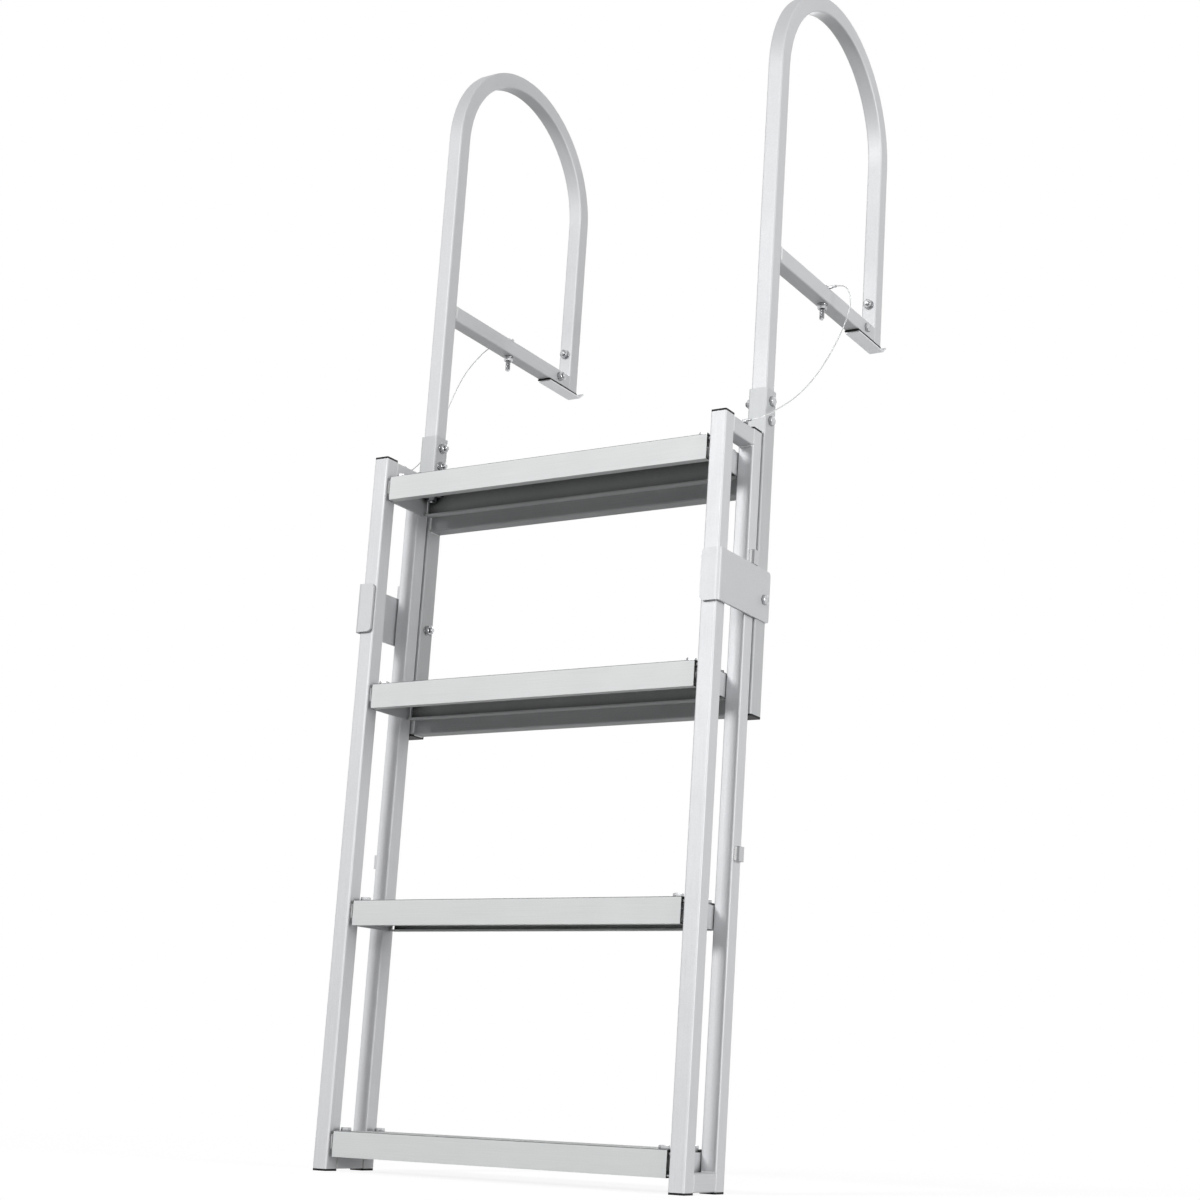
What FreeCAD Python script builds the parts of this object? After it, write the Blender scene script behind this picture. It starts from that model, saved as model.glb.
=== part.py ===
import FreeCAD, Part
import math
import os
import Sketcher

# Dock ladder: a lift-up ladder of square aluminium tube that slides on two
# posts. Each post hangs from a handrail whose deck bar is bolted to the dock.
# Origin: centre of the left deck plate's underside, which lies on the deck.
# +Z is up, -Y is out over the water, +X runs from the left side to the right.

doc = FreeCAD.newDocument("DockLadder")
sheet = doc.addObject("Spreadsheet::Sheet", "Sizes")

# Driving dimensions in millimetres

SIZES = [
    ("side_pitch", 598, "left to right, between the axes of the two sides"),
    ("tube_width", 25, "outside width of the square tube"),
    ("tube_wall", 2, "wall of the square tube and of the posts"),
    ("tube_corner", 2.5, "outside corner radius of every tube"),
    ("post_width", 30, "outside width of the sliding posts"),
    ("post_length", 485, "height of a post"),
    ("post_drop", 201, "from the deck down to the top of a post"),
    ("post_overlap", 70, "length of handrail inside the post"),
    ("leg_pitch", 350, "between the two legs of a handrail"),
    ("leg_setback", 23, "rear handrail leg behind the deck plate's centre"),
    ("arch_height", 317, "from the deck up to where the arch begins"),
    ("plate_length", 92, "flat length of the deck plate"),
    ("plate_thickness", 2, "thickness of the deck plate"),
    ("lip_reach", 15, "length of the turned-up rear lip of the deck plate"),
    ("lip_angle", 42, "slope of that lip in degrees"),
    ("pad_thickness", 2.5, "rubber pad between deck plate and tubes"),
    ("pad_length", 84, "length of the rubber pad"),
    ("joiner_clearance", 0.25, "elbow joiner inside the tube, on each side"),
    ("joiner_rise", 92, "height of the elbow joiner"),
    ("joiner_reach", 60, "length of the joiner's arm inside the deck bar"),
    ("cross_upper_drop", 134, "post top down to the top of the upper cross tube"),
    ("guide_gap", 2, "running gap of the rails at posts and brackets"),
    ("rail_gap", 56, "clear depth between front and rear rail"),
    ("rail_length", 1069, "length of a rail without its caps"),
    ("cap_thickness", 3, "visible flange of a cap or plug"),
    ("cap_depth", 12, "length of a cap inside its tube"),
    ("cap_clearance", 0.2, "cap inside its tube, on each side"),
    ("bracket_drop", 474, "from the deck down to the top of a slide bracket"),
    ("bracket_height", 75, "height of a slide bracket"),
    ("bracket_plate", 3.5, "thickness of a slide bracket"),
    ("bracket_flange", 30, "width of a slide bracket's front flange"),
    ("bracket_tail", 2, "slide bracket behind the post's rear face"),
    ("bracket_bend", 6, "outside radius of a slide bracket's bend"),
    ("bracket_round", 7, "rounded corners of a slide bracket's flange"),
    ("bracket_rear_round", 5, "rounded rear corners of a slide bracket"),
    ("bracket_bolt_rise", 31, "bracket bolt above the bracket's bottom edge"),
    ("stop_seat_gap", 0.3, "upper stop above the slide bracket"),
    ("stop_width", 13, "depth of a stop along the rail's side"),
    ("stop_proud", 7.5, "how far a stop stands out of the rail"),
    ("stop_height", 21, "height of a stop"),
    ("upper_stop_height", 872.3, "from the ladder's foot to the upper stop"),
    ("slide_travel", 327, "travel of the ladder"),
    ("travel_reserve", 1, "lower stop to bracket with the ladder raised"),
    ("bottom_tread_height", 57.5, "from the ladder's foot to the lowest tread"),
    ("bottom_step", 333, "between the two lowest treads"),
    ("step_spacing", 326, "between the other treads"),
    ("tread_end_gap", 6, "from a tread's end to the rails' inner faces"),
    ("tread_depth", 99, "depth of a tread"),
    ("tread_height", 37, "height of a tread's front and rear faces"),
    ("tread_top", 4, "thickness of a tread's top with its ribs"),
    ("tread_wall", 2.5, "thickness of a tread's flanges and lips"),
    ("tread_edge", 1.2, "rounded top edges of a tread"),
    ("tread_lip", 12, "width of the lips under a tread"),
    ("groove_pitch", 6, "between the grooves in a tread's top"),
    ("groove_width", 3, "width of a groove"),
    ("groove_depth", 1.2, "depth of a groove"),
    ("shelf_plate", 3, "thickness of the angle that carries a tread's end"),
    ("shelf_width", 28, "width of that angle under the tread"),
    ("shelf_side_gap", 1.5, "that angle to the tread's flanges"),
    ("shelf_round", 9, "rounded lower corners of that angle"),
    ("tread_bolt", 8, "diameter of the tread bolts"),
    ("tread_bolt_inset", 12, "tread bolts from the tread's end"),
    ("tread_bolt_pitch", 75, "between the front and rear tread bolts"),
    ("tread_bolt_tail", 2, "tread bolt's end beyond its nut"),
    ("frame_bolt", 8, "diameter of the bolts in posts and deck bars"),
    ("hole_clearance", 0.5, "bolt hole wider than its bolt"),
    ("frame_bolt_tail", 4, "bolt end beyond its nut"),
    ("post_bolt_drop", 18, "upper handrail bolt below the post's top"),
    ("post_bolt_pitch", 30, "between the two handrail bolts"),
    ("deck_bolt_reach", 176, "deck bolt in front of the rear handrail leg"),
    ("deck_bolt_tail", 17, "deck bolt's free end below its nut"),
    ("bar_bolt_reach", 43, "joiner bolt in front of the rear handrail leg"),
    ("leg_bolt_rise", 66, "joiner bolt above the bottom of the rear leg"),
    ("washer_thickness", 1.6, "thickness of a washer"),
    ("cord_diameter", 2, "wire rope of a lanyard"),
    ("eyelet_thickness", 1.2, "thickness of a lanyard's eyelet"),
    ("eyelet_width", 15, "diameter of a lanyard's eyelet"),
    ("sleeve_diameter", 4, "crimp sleeve of an eyelet"),
    ("sleeve_reach", 9, "from an eyelet's centre to its crimp sleeve"),
    ("sleeve_length", 14, "length of a crimp sleeve"),
    ("sleeve_clearance", 0.1, "crimp sleeve above the face under its eyelet"),
    ("lanyard_screw", 5, "diameter of the screw in the lower eyelet"),
    ("lanyard_screw_length", 10, "length of that screw under its head"),
]

for row, (alias, value, note) in enumerate(SIZES, start=1):
    sheet.set(f"A{row}", alias)
    sheet.set(f"B{row}", str(value))
    sheet.set(f"C{row}", note)
    sheet.setAlias(f"B{row}", alias)
doc.recompute()

# Places that several pieces share, as expressions of the driving dimensions

SIDES = {"left": ("0", -1), "right": ("Sizes.side_pitch", 1)}

POST_Y = "(Sizes.leg_setback - Sizes.leg_pitch)"
REAR_RAIL_Y = f"({POST_Y} - Sizes.post_width / 2 - Sizes.guide_gap - Sizes.tube_width / 2)"
FRONT_RAIL_Y = f"({REAR_RAIL_Y} - Sizes.tube_width - Sizes.rail_gap)"
LADDER_Y = f"(({REAR_RAIL_Y} + {FRONT_RAIL_Y}) / 2)"

DECK_BOLT_Y = "(Sizes.leg_setback - Sizes.deck_bolt_reach)"

BAR_Z = "(Sizes.plate_thickness + Sizes.pad_thickness)"
BAR_TOP_Z = f"({BAR_Z} + Sizes.tube_width)"
POST_TOP_Z = "(-Sizes.post_drop)"
POST_BOTTOM_Z = f"({POST_TOP_Z} - Sizes.post_length)"
BRACKET_Z = "(-Sizes.bracket_drop - Sizes.bracket_height)"
FOOT_Z = "(-Sizes.bracket_drop + Sizes.stop_seat_gap - Sizes.upper_stop_height)"
RAIL_Z = f"({FOOT_Z} + Sizes.cap_thickness)"
RAIL_TOP_Z = f"({RAIL_Z} + Sizes.rail_length)"
LOWER_STOP_TOP_Z = f"({BRACKET_Z} - Sizes.slide_travel - Sizes.travel_reserve)"

TREAD_TOP_Z = [
    f"({FOOT_Z} + Sizes.bottom_tread_height + Sizes.bottom_step + 2 * Sizes.step_spacing)",
    f"({FOOT_Z} + Sizes.bottom_tread_height + Sizes.bottom_step + Sizes.step_spacing)",
    f"({FOOT_Z} + Sizes.bottom_tread_height + Sizes.bottom_step)",
    f"({FOOT_Z} + Sizes.bottom_tread_height)",
]

TREAD_START = "(Sizes.tube_width / 2 + Sizes.tread_end_gap)"
TREAD_LENGTH = f"(Sizes.side_pitch - 2 * {TREAD_START})"
TREAD_BOLT_ROWS = ["-Sizes.tread_bolt_pitch / 2", "Sizes.tread_bolt_pitch / 2"]
TREAD_BOLT_COLUMN = {
    "left": f"({TREAD_START} + Sizes.tread_bolt_inset)",
    "right": f"(Sizes.side_pitch - {TREAD_START} - Sizes.tread_bolt_inset)",
}

SAME_PLACE = 1e-6  # millimetres between coordinates that count as equal

nodes = []


def number(expression):
    """Value of an expression of the sheet."""
    return float(doc.Sizes.evalExpression(str(expression)))


def place(item, x, y, z):
    """Bind an object's position to the sheet."""
    for axis, expression in zip("xyz", (x, y, z)):
        item.setExpression(f"Placement.Base.{axis}", str(expression))


def new_body(label, x, y, z):
    body = doc.addObject("PartDesign::Body", label)
    body.Label = label
    place(body, x, y, z)
    return body


def new_sketch(body, plane, name, offset="0"):
    """Sketch on one of the body's planes, or at an offset along its normal.
    The normals are +Z for XY_Plane, -Y for XZ_Plane and +X for YZ_Plane."""
    sketch = body.newObject("Sketcher::SketchObject", name)
    origin = next(item for item in body.Origin.OriginFeatures if item.Role == plane)
    sketch.AttachmentSupport = [(origin, "")]
    sketch.MapMode = "FlatFace"
    sketch.setExpression("AttachmentOffset.Base.z", str(offset))
    return sketch


def bind(sketch, index, expression):
    sketch.setExpression(f"Constraints[{index}]", str(expression))


def pin_point(sketch, line, end, u, v):
    """Hold one end of a line at the place (u, v)."""
    bind(sketch, sketch.addConstraint(Sketcher.Constraint("DistanceX", line, end, number(u))), u)
    bind(sketch, sketch.addConstraint(Sketcher.Constraint("DistanceY", line, end, number(v))), v)


def polygon(body, plane, name, corners, offset="0"):
    """Closed outline through corners, each a pair of expressions."""
    sketch = new_sketch(body, plane, name, offset)
    spots = [FreeCAD.Vector(number(u), number(v), 0) for u, v in corners]
    for index, spot in enumerate(spots):
        sketch.addGeometry(Part.LineSegment(spot, spots[(index + 1) % len(spots)]), False)
    for index in range(len(spots)):
        following = (index + 1) % len(spots)
        sketch.addConstraint(Sketcher.Constraint("Coincident", index, 2, following, 1))
    for index, (u, v) in enumerate(corners):
        pin_point(sketch, index, 1, u, v)
    return sketch


def rectangle(body, plane, name, width, height, u="0", v="0", offset="0"):
    """Rectangle of the given width and height centred at (u, v)."""
    low_u = f"({u}) - ({width}) / 2"
    high_u = f"({u}) + ({width}) / 2"
    low_v = f"({v}) - ({height}) / 2"
    high_v = f"({v}) + ({height}) / 2"
    corners = [(low_u, low_v), (high_u, low_v), (high_u, high_v), (low_u, high_v)]
    return polygon(body, plane, name, corners, offset)


def circles(body, plane, name, diameter, centres, offset="0"):
    """Circles of one diameter at the given pairs of expressions."""
    sketch = new_sketch(body, plane, name, offset)
    radius = f"({diameter}) / 2"
    for index, (u, v) in enumerate(centres):
        centre = FreeCAD.Vector(number(u), number(v), 0)
        sketch.addGeometry(Part.Circle(centre, FreeCAD.Vector(0, 0, 1), number(radius)), False)
        rule = sketch.addConstraint(Sketcher.Constraint("Radius", index, number(radius)))
        bind(sketch, rule, radius)
        pin_point(sketch, index, 3, u, v)
    return sketch


def pad(body, sketch, length, reverse=False, middle=False):
    feature = body.newObject("PartDesign::Pad", f"{sketch.Name}Pad")
    feature.Profile = sketch
    feature.setExpression("Length", str(length))
    feature.Reversed = reverse
    if middle:
        feature.SideType = "Symmetric"
    doc.recompute()
    return feature


def pocket(body, sketch, length, reverse=False, middle=False):
    """Cut the sketch away and make sure that it did remove something."""
    before = body.Shape.Volume
    feature = body.newObject("PartDesign::Pocket", f"{sketch.Name}Pocket")
    feature.Profile = sketch
    feature.setExpression("Length", str(length))
    feature.Reversed = reverse
    if middle:
        feature.SideType = "Symmetric"
    doc.recompute()
    if not body.Shape.Volume < before:
        raise RuntimeError(f"{sketch.Name} cuts nothing")
    return feature


def fillet(body, radius, choose):
    """Round the edges of the body's tip for which choose(edge) is true."""
    base = body.Tip
    names = [f"Edge{n}" for n, edge in enumerate(base.Shape.Edges, start=1) if choose(edge)]
    feature = body.newObject("PartDesign::Fillet", f"{base.Name}Round")
    feature.Base = (base, names)
    feature.setExpression("Radius", str(radius))
    doc.recompute()
    return feature


def runs_along(axis):
    """Test for straight edges that run along the axis 0, 1 or 2."""
    def test(edge):
        if edge.Curve.TypeId != "Part::GeomLine":
            return False
        return abs(abs(edge.Curve.Direction[axis]) - 1) < SAME_PLACE
    return test


def on_line(axis, **places):
    """Test for straight edges along an axis that also lie at the given X, Y or Z."""
    along = runs_along(axis)

    def test(edge):
        if not along(edge):
            return False
        corner = edge.Vertexes[0]
        return all(abs(getattr(corner, name) - number(spot)) < SAME_PLACE for name, spot in places.items())
    return test


def keep(item, label):
    """Name a finished sub-part and put it on the list of nodes."""
    item.Label = label
    nodes.append(item)
    return item


def gather(label, items):
    """One node of several solids that don't touch each other."""
    group = doc.addObject("Part::Compound", label)
    group.Links = items
    return keep(group, label)


def square_tube(label, plane, width, length, position, ends_middle=False, backwards=False):
    """Extruded square tube with rounded corners, open at both ends."""
    axis = {"XY_Plane": 2, "XZ_Plane": 1, "YZ_Plane": 0}[plane]
    body = new_body(label, *position)
    outside = rectangle(body, plane, f"{label}_outside", width, width)
    pad(body, outside, length, reverse=backwards, middle=ends_middle)
    fillet(body, "Sizes.tube_corner", runs_along(axis))
    clear = f"{width} - 2 * Sizes.tube_wall"
    inside = rectangle(body, plane, f"{label}_inside", clear, clear)
    pocket(body, inside, f"2 * ({length})", middle=True)
    return body


# Bolts, whose heads and nuts are sized in shares of the bolt's diameter

HEX_RADIUS = 0.95
HEAD_HEIGHT = 0.65
NUT_HEIGHT = 0.8
WASHER_WIDTH = 2


def hexagon(name, diameter, height, x, y, z):
    """Six-sided head or nut."""
    item = doc.addObject("Part::Prism", name)
    item.Polygon = 6
    item.setExpression("Circumradius", f"{HEX_RADIUS} * {diameter}")
    item.setExpression("Height", str(height))
    place(item, x, y, z)
    return item


def round_bar(name, diameter, height, x, y, z):
    item = doc.addObject("Part::Cylinder", name)
    item.setExpression("Radius", f"({diameter}) / 2")
    item.setExpression("Height", str(height))
    place(item, x, y, z)
    return item


def hex_bolt(name, diameter, grip, tail, position, turn):
    """Bolt, washer and nut. The head's underside is at the position and the
    shank runs towards -Z of the turned frame through the given grip."""
    nut = f"{NUT_HEIGHT} * {diameter}"
    length = f"{grip} + Sizes.washer_thickness + {nut} + {tail}"
    washer = f"{WASHER_WIDTH} * {diameter}"
    nut_top = f"-({grip} + Sizes.washer_thickness)"
    bolt = doc.addObject("Part::MultiFuse", name)
    bolt.Shapes = [
        hexagon(f"{name}_head", diameter, f"{HEAD_HEIGHT} * {diameter}", "0", "0", "0"),
        round_bar(f"{name}_shank", diameter, length, "0", "0", f"-({length})"),
        round_bar(f"{name}_washer", washer, "Sizes.washer_thickness", "0", "0", nut_top),
        hexagon(f"{name}_nut", diameter, nut, "0", "0", f"{nut_top} - {nut}"),
    ]
    place(bolt, *position)
    bolt.Placement.Rotation = turn
    return bolt


def screw(name, diameter, length, position):
    """Upright screw with a six-sided head and no nut."""
    item = doc.addObject("Part::MultiFuse", name)
    item.Shapes = [
        hexagon(f"{name}_head", diameter, f"{HEAD_HEIGHT} * {diameter}", "0", "0", "0"),
        round_bar(f"{name}_shank", diameter, length, "0", "0", f"-{length}"),
    ]
    place(item, *position)
    return item


HEAD_UP = FreeCAD.Rotation()
HEAD_RIGHT = FreeCAD.Rotation(FreeCAD.Vector(0, 1, 0), 90)
HEAD_LEFT = FreeCAD.Rotation(FreeCAD.Vector(0, 1, 0), -90)
HEAD_REAR = FreeCAD.Rotation(FreeCAD.Vector(1, 0, 0), -90)
HEAD_OUT = {-1: HEAD_LEFT, 1: HEAD_RIGHT}

FRAME_HOLE = "Sizes.frame_bolt + Sizes.hole_clearance"
TREAD_HOLE = "Sizes.tread_bolt + Sizes.hole_clearance"
SCREW_HOLE = "Sizes.lanyard_screw + Sizes.hole_clearance"
POST_BOLT_DROPS = ["Sizes.post_bolt_drop", "Sizes.post_bolt_drop + Sizes.post_bolt_pitch"]


# Handrails: one length of tube, bent to a half circle between two legs

def is_long_corner(edge):
    """Corner edges along a handrail: upright lines and arcs about the X axis."""
    if runs_along(2)(edge):
        return True
    return edge.Curve.TypeId == "Part::GeomCircle" and abs(edge.Curve.Axis.x) > 0.999


def handrail_path(body, name, bottom):
    """Upright leg, half circle and rear leg, seen from the side."""
    sketch = new_sketch(body, "YZ_Plane", name)
    rise = number(f"Sizes.arch_height - {POST_TOP_Z} + Sizes.post_overlap")
    drop = number(f"Sizes.arch_height - {bottom}")
    pitch = number("Sizes.leg_pitch")
    spot = FreeCAD.Vector
    centre = spot(pitch / 2, rise, 0)
    circle = Part.Circle(centre, spot(0, 0, 1), pitch / 2)
    sketch.addGeometry(Part.LineSegment(spot(0, 0, 0), spot(0, rise, 0)), False)
    sketch.addGeometry(Part.ArcOfCircle(circle, 0, math.pi), False)
    sketch.addGeometry(Part.LineSegment(spot(pitch, rise, 0), spot(pitch, rise - drop, 0)), False)
    sketch.addConstraint(Sketcher.Constraint("Coincident", 0, 1, -1, 1))
    sketch.addConstraint(Sketcher.Constraint("Vertical", 0))
    sketch.addConstraint(Sketcher.Constraint("Tangent", 0, 2, 1, 2))
    sketch.addConstraint(Sketcher.Constraint("Tangent", 1, 1, 2, 1))
    sketch.addConstraint(Sketcher.Constraint("Vertical", 2))
    radius = sketch.addConstraint(Sketcher.Constraint("Radius", 1, pitch / 2))
    bind(sketch, radius, "Sizes.leg_pitch / 2")
    height = sketch.addConstraint(Sketcher.Constraint("DistanceY", 0, 1, 0, 2, rise))
    bind(sketch, height, f"Sizes.arch_height - {POST_TOP_Z} + Sizes.post_overlap")
    rear = sketch.addConstraint(Sketcher.Constraint("DistanceY", 2, 2, 2, 1, drop))
    bind(sketch, rear, f"Sizes.arch_height - {bottom}")
    return sketch


def pipe(body, kind, profile, path):
    feature = body.newObject(f"PartDesign::{kind}", f"{profile.Name}{kind}")
    feature.Profile = profile
    feature.Spine = path
    doc.recompute()
    return feature


def handrail(side):
    x, outward = SIDES[side]
    label = f"{side}_handrail"
    foot = f"{POST_TOP_Z} - Sizes.post_overlap"
    body = new_body(label, x, POST_Y, foot)
    path = handrail_path(body, f"{label}_path", BAR_Z)
    outside = rectangle(body, "XY_Plane", f"{label}_outside", "Sizes.tube_width", "Sizes.tube_width")
    pipe(body, "AdditivePipe", outside, path)
    fillet(body, "Sizes.tube_corner", is_long_corner)
    clear = "Sizes.tube_width - 2 * Sizes.tube_wall"
    inside = rectangle(body, "XY_Plane", f"{label}_inside", clear, clear)
    pipe(body, "SubtractivePipe", inside, path)
    reach = "2 * Sizes.tube_width"
    drops = [("0", f"Sizes.post_overlap - ({drop})") for drop in POST_BOLT_DROPS]
    post_holes = circles(body, "YZ_Plane", f"{label}_post_holes", FRAME_HOLE, drops)
    pocket(body, post_holes, reach, middle=True)
    leg_height = f"{BAR_Z} + Sizes.leg_bolt_rise - ({foot})"
    rear_leg = "-Sizes.leg_pitch"
    leg_hole = circles(body, "XZ_Plane", f"{label}_leg_hole", FRAME_HOLE, [("0", leg_height)], rear_leg)
    pocket(body, leg_hole, reach, middle=True)
    bar_height = f"{BAR_Z} + Sizes.tube_width / 2 - ({foot})"
    front_wall = "Sizes.tube_width / 2 - Sizes.leg_pitch"
    window = rectangle(body, "XZ_Plane", f"{label}_window", clear, clear, "0", bar_height, front_wall)
    pocket(body, window, "2 * Sizes.tube_wall", middle=True)
    return keep(body, label)


# Deck bars, elbow joiners, pads and plates: the feet on the deck. The joiner
# sits in the rear leg and reaches through a window in it into the deck bar.

def deck_bar(side):
    """Tube from the front handrail leg to the rear one, with its bolt holes."""
    x, outward = SIDES[side]
    label = f"{side}_deck_bar"
    length = "Sizes.leg_pitch - Sizes.tube_width"
    start = f"{POST_Y} + Sizes.tube_width / 2"
    position = (x, start, f"{BAR_Z} + Sizes.tube_width / 2")
    body = square_tube(label, "XZ_Plane", "Sizes.tube_width", length, position, backwards=True)
    along = f"{length} + Sizes.tube_width / 2 - Sizes.deck_bolt_reach"
    down = circles(body, "XY_Plane", f"{label}_deck_hole", FRAME_HOLE, [("0", along)])
    pocket(body, down, "2 * Sizes.tube_width", middle=True)
    along = f"{length} + Sizes.tube_width / 2 - Sizes.bar_bolt_reach"
    across = circles(body, "YZ_Plane", f"{label}_joiner_hole", FRAME_HOLE, [(along, "0")])
    pocket(body, across, "2 * Sizes.tube_width", middle=True)
    return keep(body, label)


def elbow_joiner(side):
    """Solid elbow with a hole for the leg's bolt and one for the bar's bolt."""
    x, outward = SIDES[side]
    label = f"{side}_elbow_joiner"
    body = new_body(label, x, "Sizes.leg_setback", f"{BAR_Z} + Sizes.tube_width / 2")
    half = "(Sizes.tube_width / 2 - Sizes.tube_wall - Sizes.joiner_clearance)"
    top = "Sizes.joiner_rise - Sizes.tube_width / 2"
    outline = polygon(body, "YZ_Plane", f"{label}_outline", [
        (half, f"-{half}"),
        (half, top),
        (f"-{half}", top),
        (f"-{half}", half),
        ("-Sizes.joiner_reach", half),
        ("-Sizes.joiner_reach", f"-{half}"),
    ])
    pad(body, outline, f"2 * {half}", middle=True)
    leg_spot = ("0", "Sizes.leg_bolt_rise - Sizes.tube_width / 2")
    leg_hole = circles(body, "XZ_Plane", f"{label}_leg_hole", FRAME_HOLE, [leg_spot])
    pocket(body, leg_hole, "Sizes.tube_width", middle=True)
    bar_hole = circles(body, "YZ_Plane", f"{label}_bar_hole", FRAME_HOLE, [("-Sizes.bar_bolt_reach", "0")])
    pocket(body, bar_hole, "Sizes.tube_width", middle=True)
    return keep(body, label)


def deck_pad(side):
    x, outward = SIDES[side]
    label = f"{side}_deck_pad"
    length = "Sizes.pad_length"
    front = f"Sizes.leg_setback + Sizes.tube_width / 2 - {length}"
    body = new_body(label, x, front, "Sizes.plate_thickness")
    width = "Sizes.tube_width"
    outline = rectangle(body, "XY_Plane", f"{label}_outline", width, length, "0", f"{length} / 2")
    pad(body, outline, "Sizes.pad_thickness")
    return keep(body, label)


def deck_plate(side):
    """Flat plate with its rear end turned up."""
    x, outward = SIDES[side]
    label = f"{side}_deck_plate"
    body = new_body(label, x, "0", "0")
    end = "Sizes.plate_length / 2"
    thick = "Sizes.plate_thickness"
    reach = "Sizes.lip_reach * cos(Sizes.lip_angle)"
    rise = "Sizes.lip_reach * sin(Sizes.lip_angle)"
    lean = f"{thick} * sin(Sizes.lip_angle)"
    step = f"{thick} * cos(Sizes.lip_angle)"
    inner = f"{end} - {thick} * tan(Sizes.lip_angle / 2)"
    outline = polygon(body, "YZ_Plane", f"{label}_outline", [
        (f"-({end})", "0"),
        (end, "0"),
        (f"{end} + {reach}", rise),
        (f"{end} + {reach} - {lean}", f"{rise} + {step}"),
        (inner, thick),
        (f"-({end})", thick),
    ])
    pad(body, outline, "Sizes.tube_width", middle=True)
    return keep(body, label)


def post(side):
    x, outward = SIDES[side]
    label = f"{side}_post"
    position = (x, POST_Y, POST_BOTTOM_Z)
    body = square_tube(label, "XY_Plane", "Sizes.post_width", "Sizes.post_length", position)
    heights = [f"Sizes.post_length - ({drop})" for drop in POST_BOLT_DROPS]
    heights.append(f"{BRACKET_Z} + Sizes.bracket_bolt_rise - {POST_BOTTOM_Z}")
    spots = [("0", height) for height in heights]
    across = circles(body, "YZ_Plane", f"{label}_holes", FRAME_HOLE, spots)
    pocket(body, across, "2 * Sizes.post_width", middle=True)
    return keep(body, label)


def cross_tube(label, top):
    """Tube between the inner faces of the two posts."""
    length = "Sizes.side_pitch - Sizes.post_width"
    position = ("Sizes.post_width / 2", POST_Y, f"{top} - Sizes.tube_width / 2")
    return keep(square_tube(label, "YZ_Plane", "Sizes.tube_width", length, position), label)


def end_cap(label, width, x, y, z, upright):
    """Plastic cap: a flange on the tube's end and a plug inside the tube."""
    body = new_body(label, x, y, z)
    flange = rectangle(body, "XY_Plane", f"{label}_flange", width, width)
    pad(body, flange, "Sizes.cap_thickness", reverse=not upright)
    fillet(body, "Sizes.tube_corner", runs_along(2))
    clear = f"{width} - 2 * Sizes.tube_wall - 2 * Sizes.cap_clearance"
    plug = rectangle(body, "XY_Plane", f"{label}_plug", clear, clear)
    pad(body, plug, "Sizes.cap_depth", reverse=upright)
    return body


# Slide brackets: bent plates that hold the ladder's rails against the posts

def slide_bracket(side):
    x, outward = SIDES[side]
    label = f"{side}_slide_bracket"
    body = new_body(label, x, "0", BRACKET_Z)
    inner = f"{outward} * Sizes.post_width / 2"
    outer = f"{outward} * (Sizes.post_width / 2 + Sizes.bracket_plate)"
    edge = f"{outward} * (Sizes.post_width / 2 + Sizes.bracket_plate - Sizes.bracket_flange)"
    rear = f"{POST_Y} + Sizes.post_width / 2 + Sizes.bracket_tail"
    back = f"{FRONT_RAIL_Y} - Sizes.tube_width / 2 - Sizes.guide_gap"
    front = f"{back} - Sizes.bracket_plate"
    outline = polygon(body, "XY_Plane", f"{label}_outline", [
        (inner, rear), (outer, rear), (outer, front), (edge, front), (edge, back), (inner, back),
    ])
    pad(body, outline, "Sizes.bracket_height")
    fillet(body, "Sizes.bracket_bend", on_line(2, X=outer, Y=front))
    fillet(body, "Sizes.bracket_bend - Sizes.bracket_plate", on_line(2, X=inner, Y=back))
    fillet(body, "Sizes.bracket_round", on_line(1, X=edge))
    fillet(body, "Sizes.bracket_rear_round", on_line(0, Y=rear))
    hole_spot = (POST_Y, "Sizes.bracket_bolt_rise")
    hole = circles(body, "YZ_Plane", f"{label}_hole", FRAME_HOLE, [hole_spot])
    pocket(body, hole, "3 * Sizes.post_width", middle=True)
    return keep(body, label)


def spacers(side):
    """Short tubes between the rails, flush with their ends. The upper one has a
    hole in its top for the lanyard's screw."""
    x, outward = SIDES[side]
    tubes = []
    for name, z in (("top", f"{RAIL_TOP_Z} - Sizes.tube_width / 2"),
                    ("bottom", f"{RAIL_Z} + Sizes.tube_width / 2")):
        spacer = f"{side}_{name}_spacer"
        position = (x, LADDER_Y, z)
        tubes.append(square_tube(spacer, "XZ_Plane", "Sizes.tube_width", "Sizes.rail_gap", position, True))
    top = tubes[0]
    hole = circles(top, "XY_Plane", f"{side}_spacer_hole", SCREW_HOLE, [("0", "0")])
    pocket(top, hole, "Sizes.tube_width", reverse=True)
    return gather(f"{side}_spacers", tubes)


def stop(name, side, bottom):
    """Block on the outer face of the rear rail."""
    x, outward = SIDES[side]
    item = doc.addObject("Part::Box", name)
    item.setExpression("Length", "Sizes.stop_proud")
    item.setExpression("Width", "Sizes.stop_width")
    item.setExpression("Height", "Sizes.stop_height")
    start = "Sizes.tube_width / 2" if outward > 0 else "-Sizes.tube_width / 2 - Sizes.stop_proud"
    place(item, f"{x} + {start}", f"{REAR_RAIL_Y} - Sizes.stop_width / 2", bottom)
    return item


# Treads: open-bottomed extrusions with a ribbed top, and the angles under them

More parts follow.
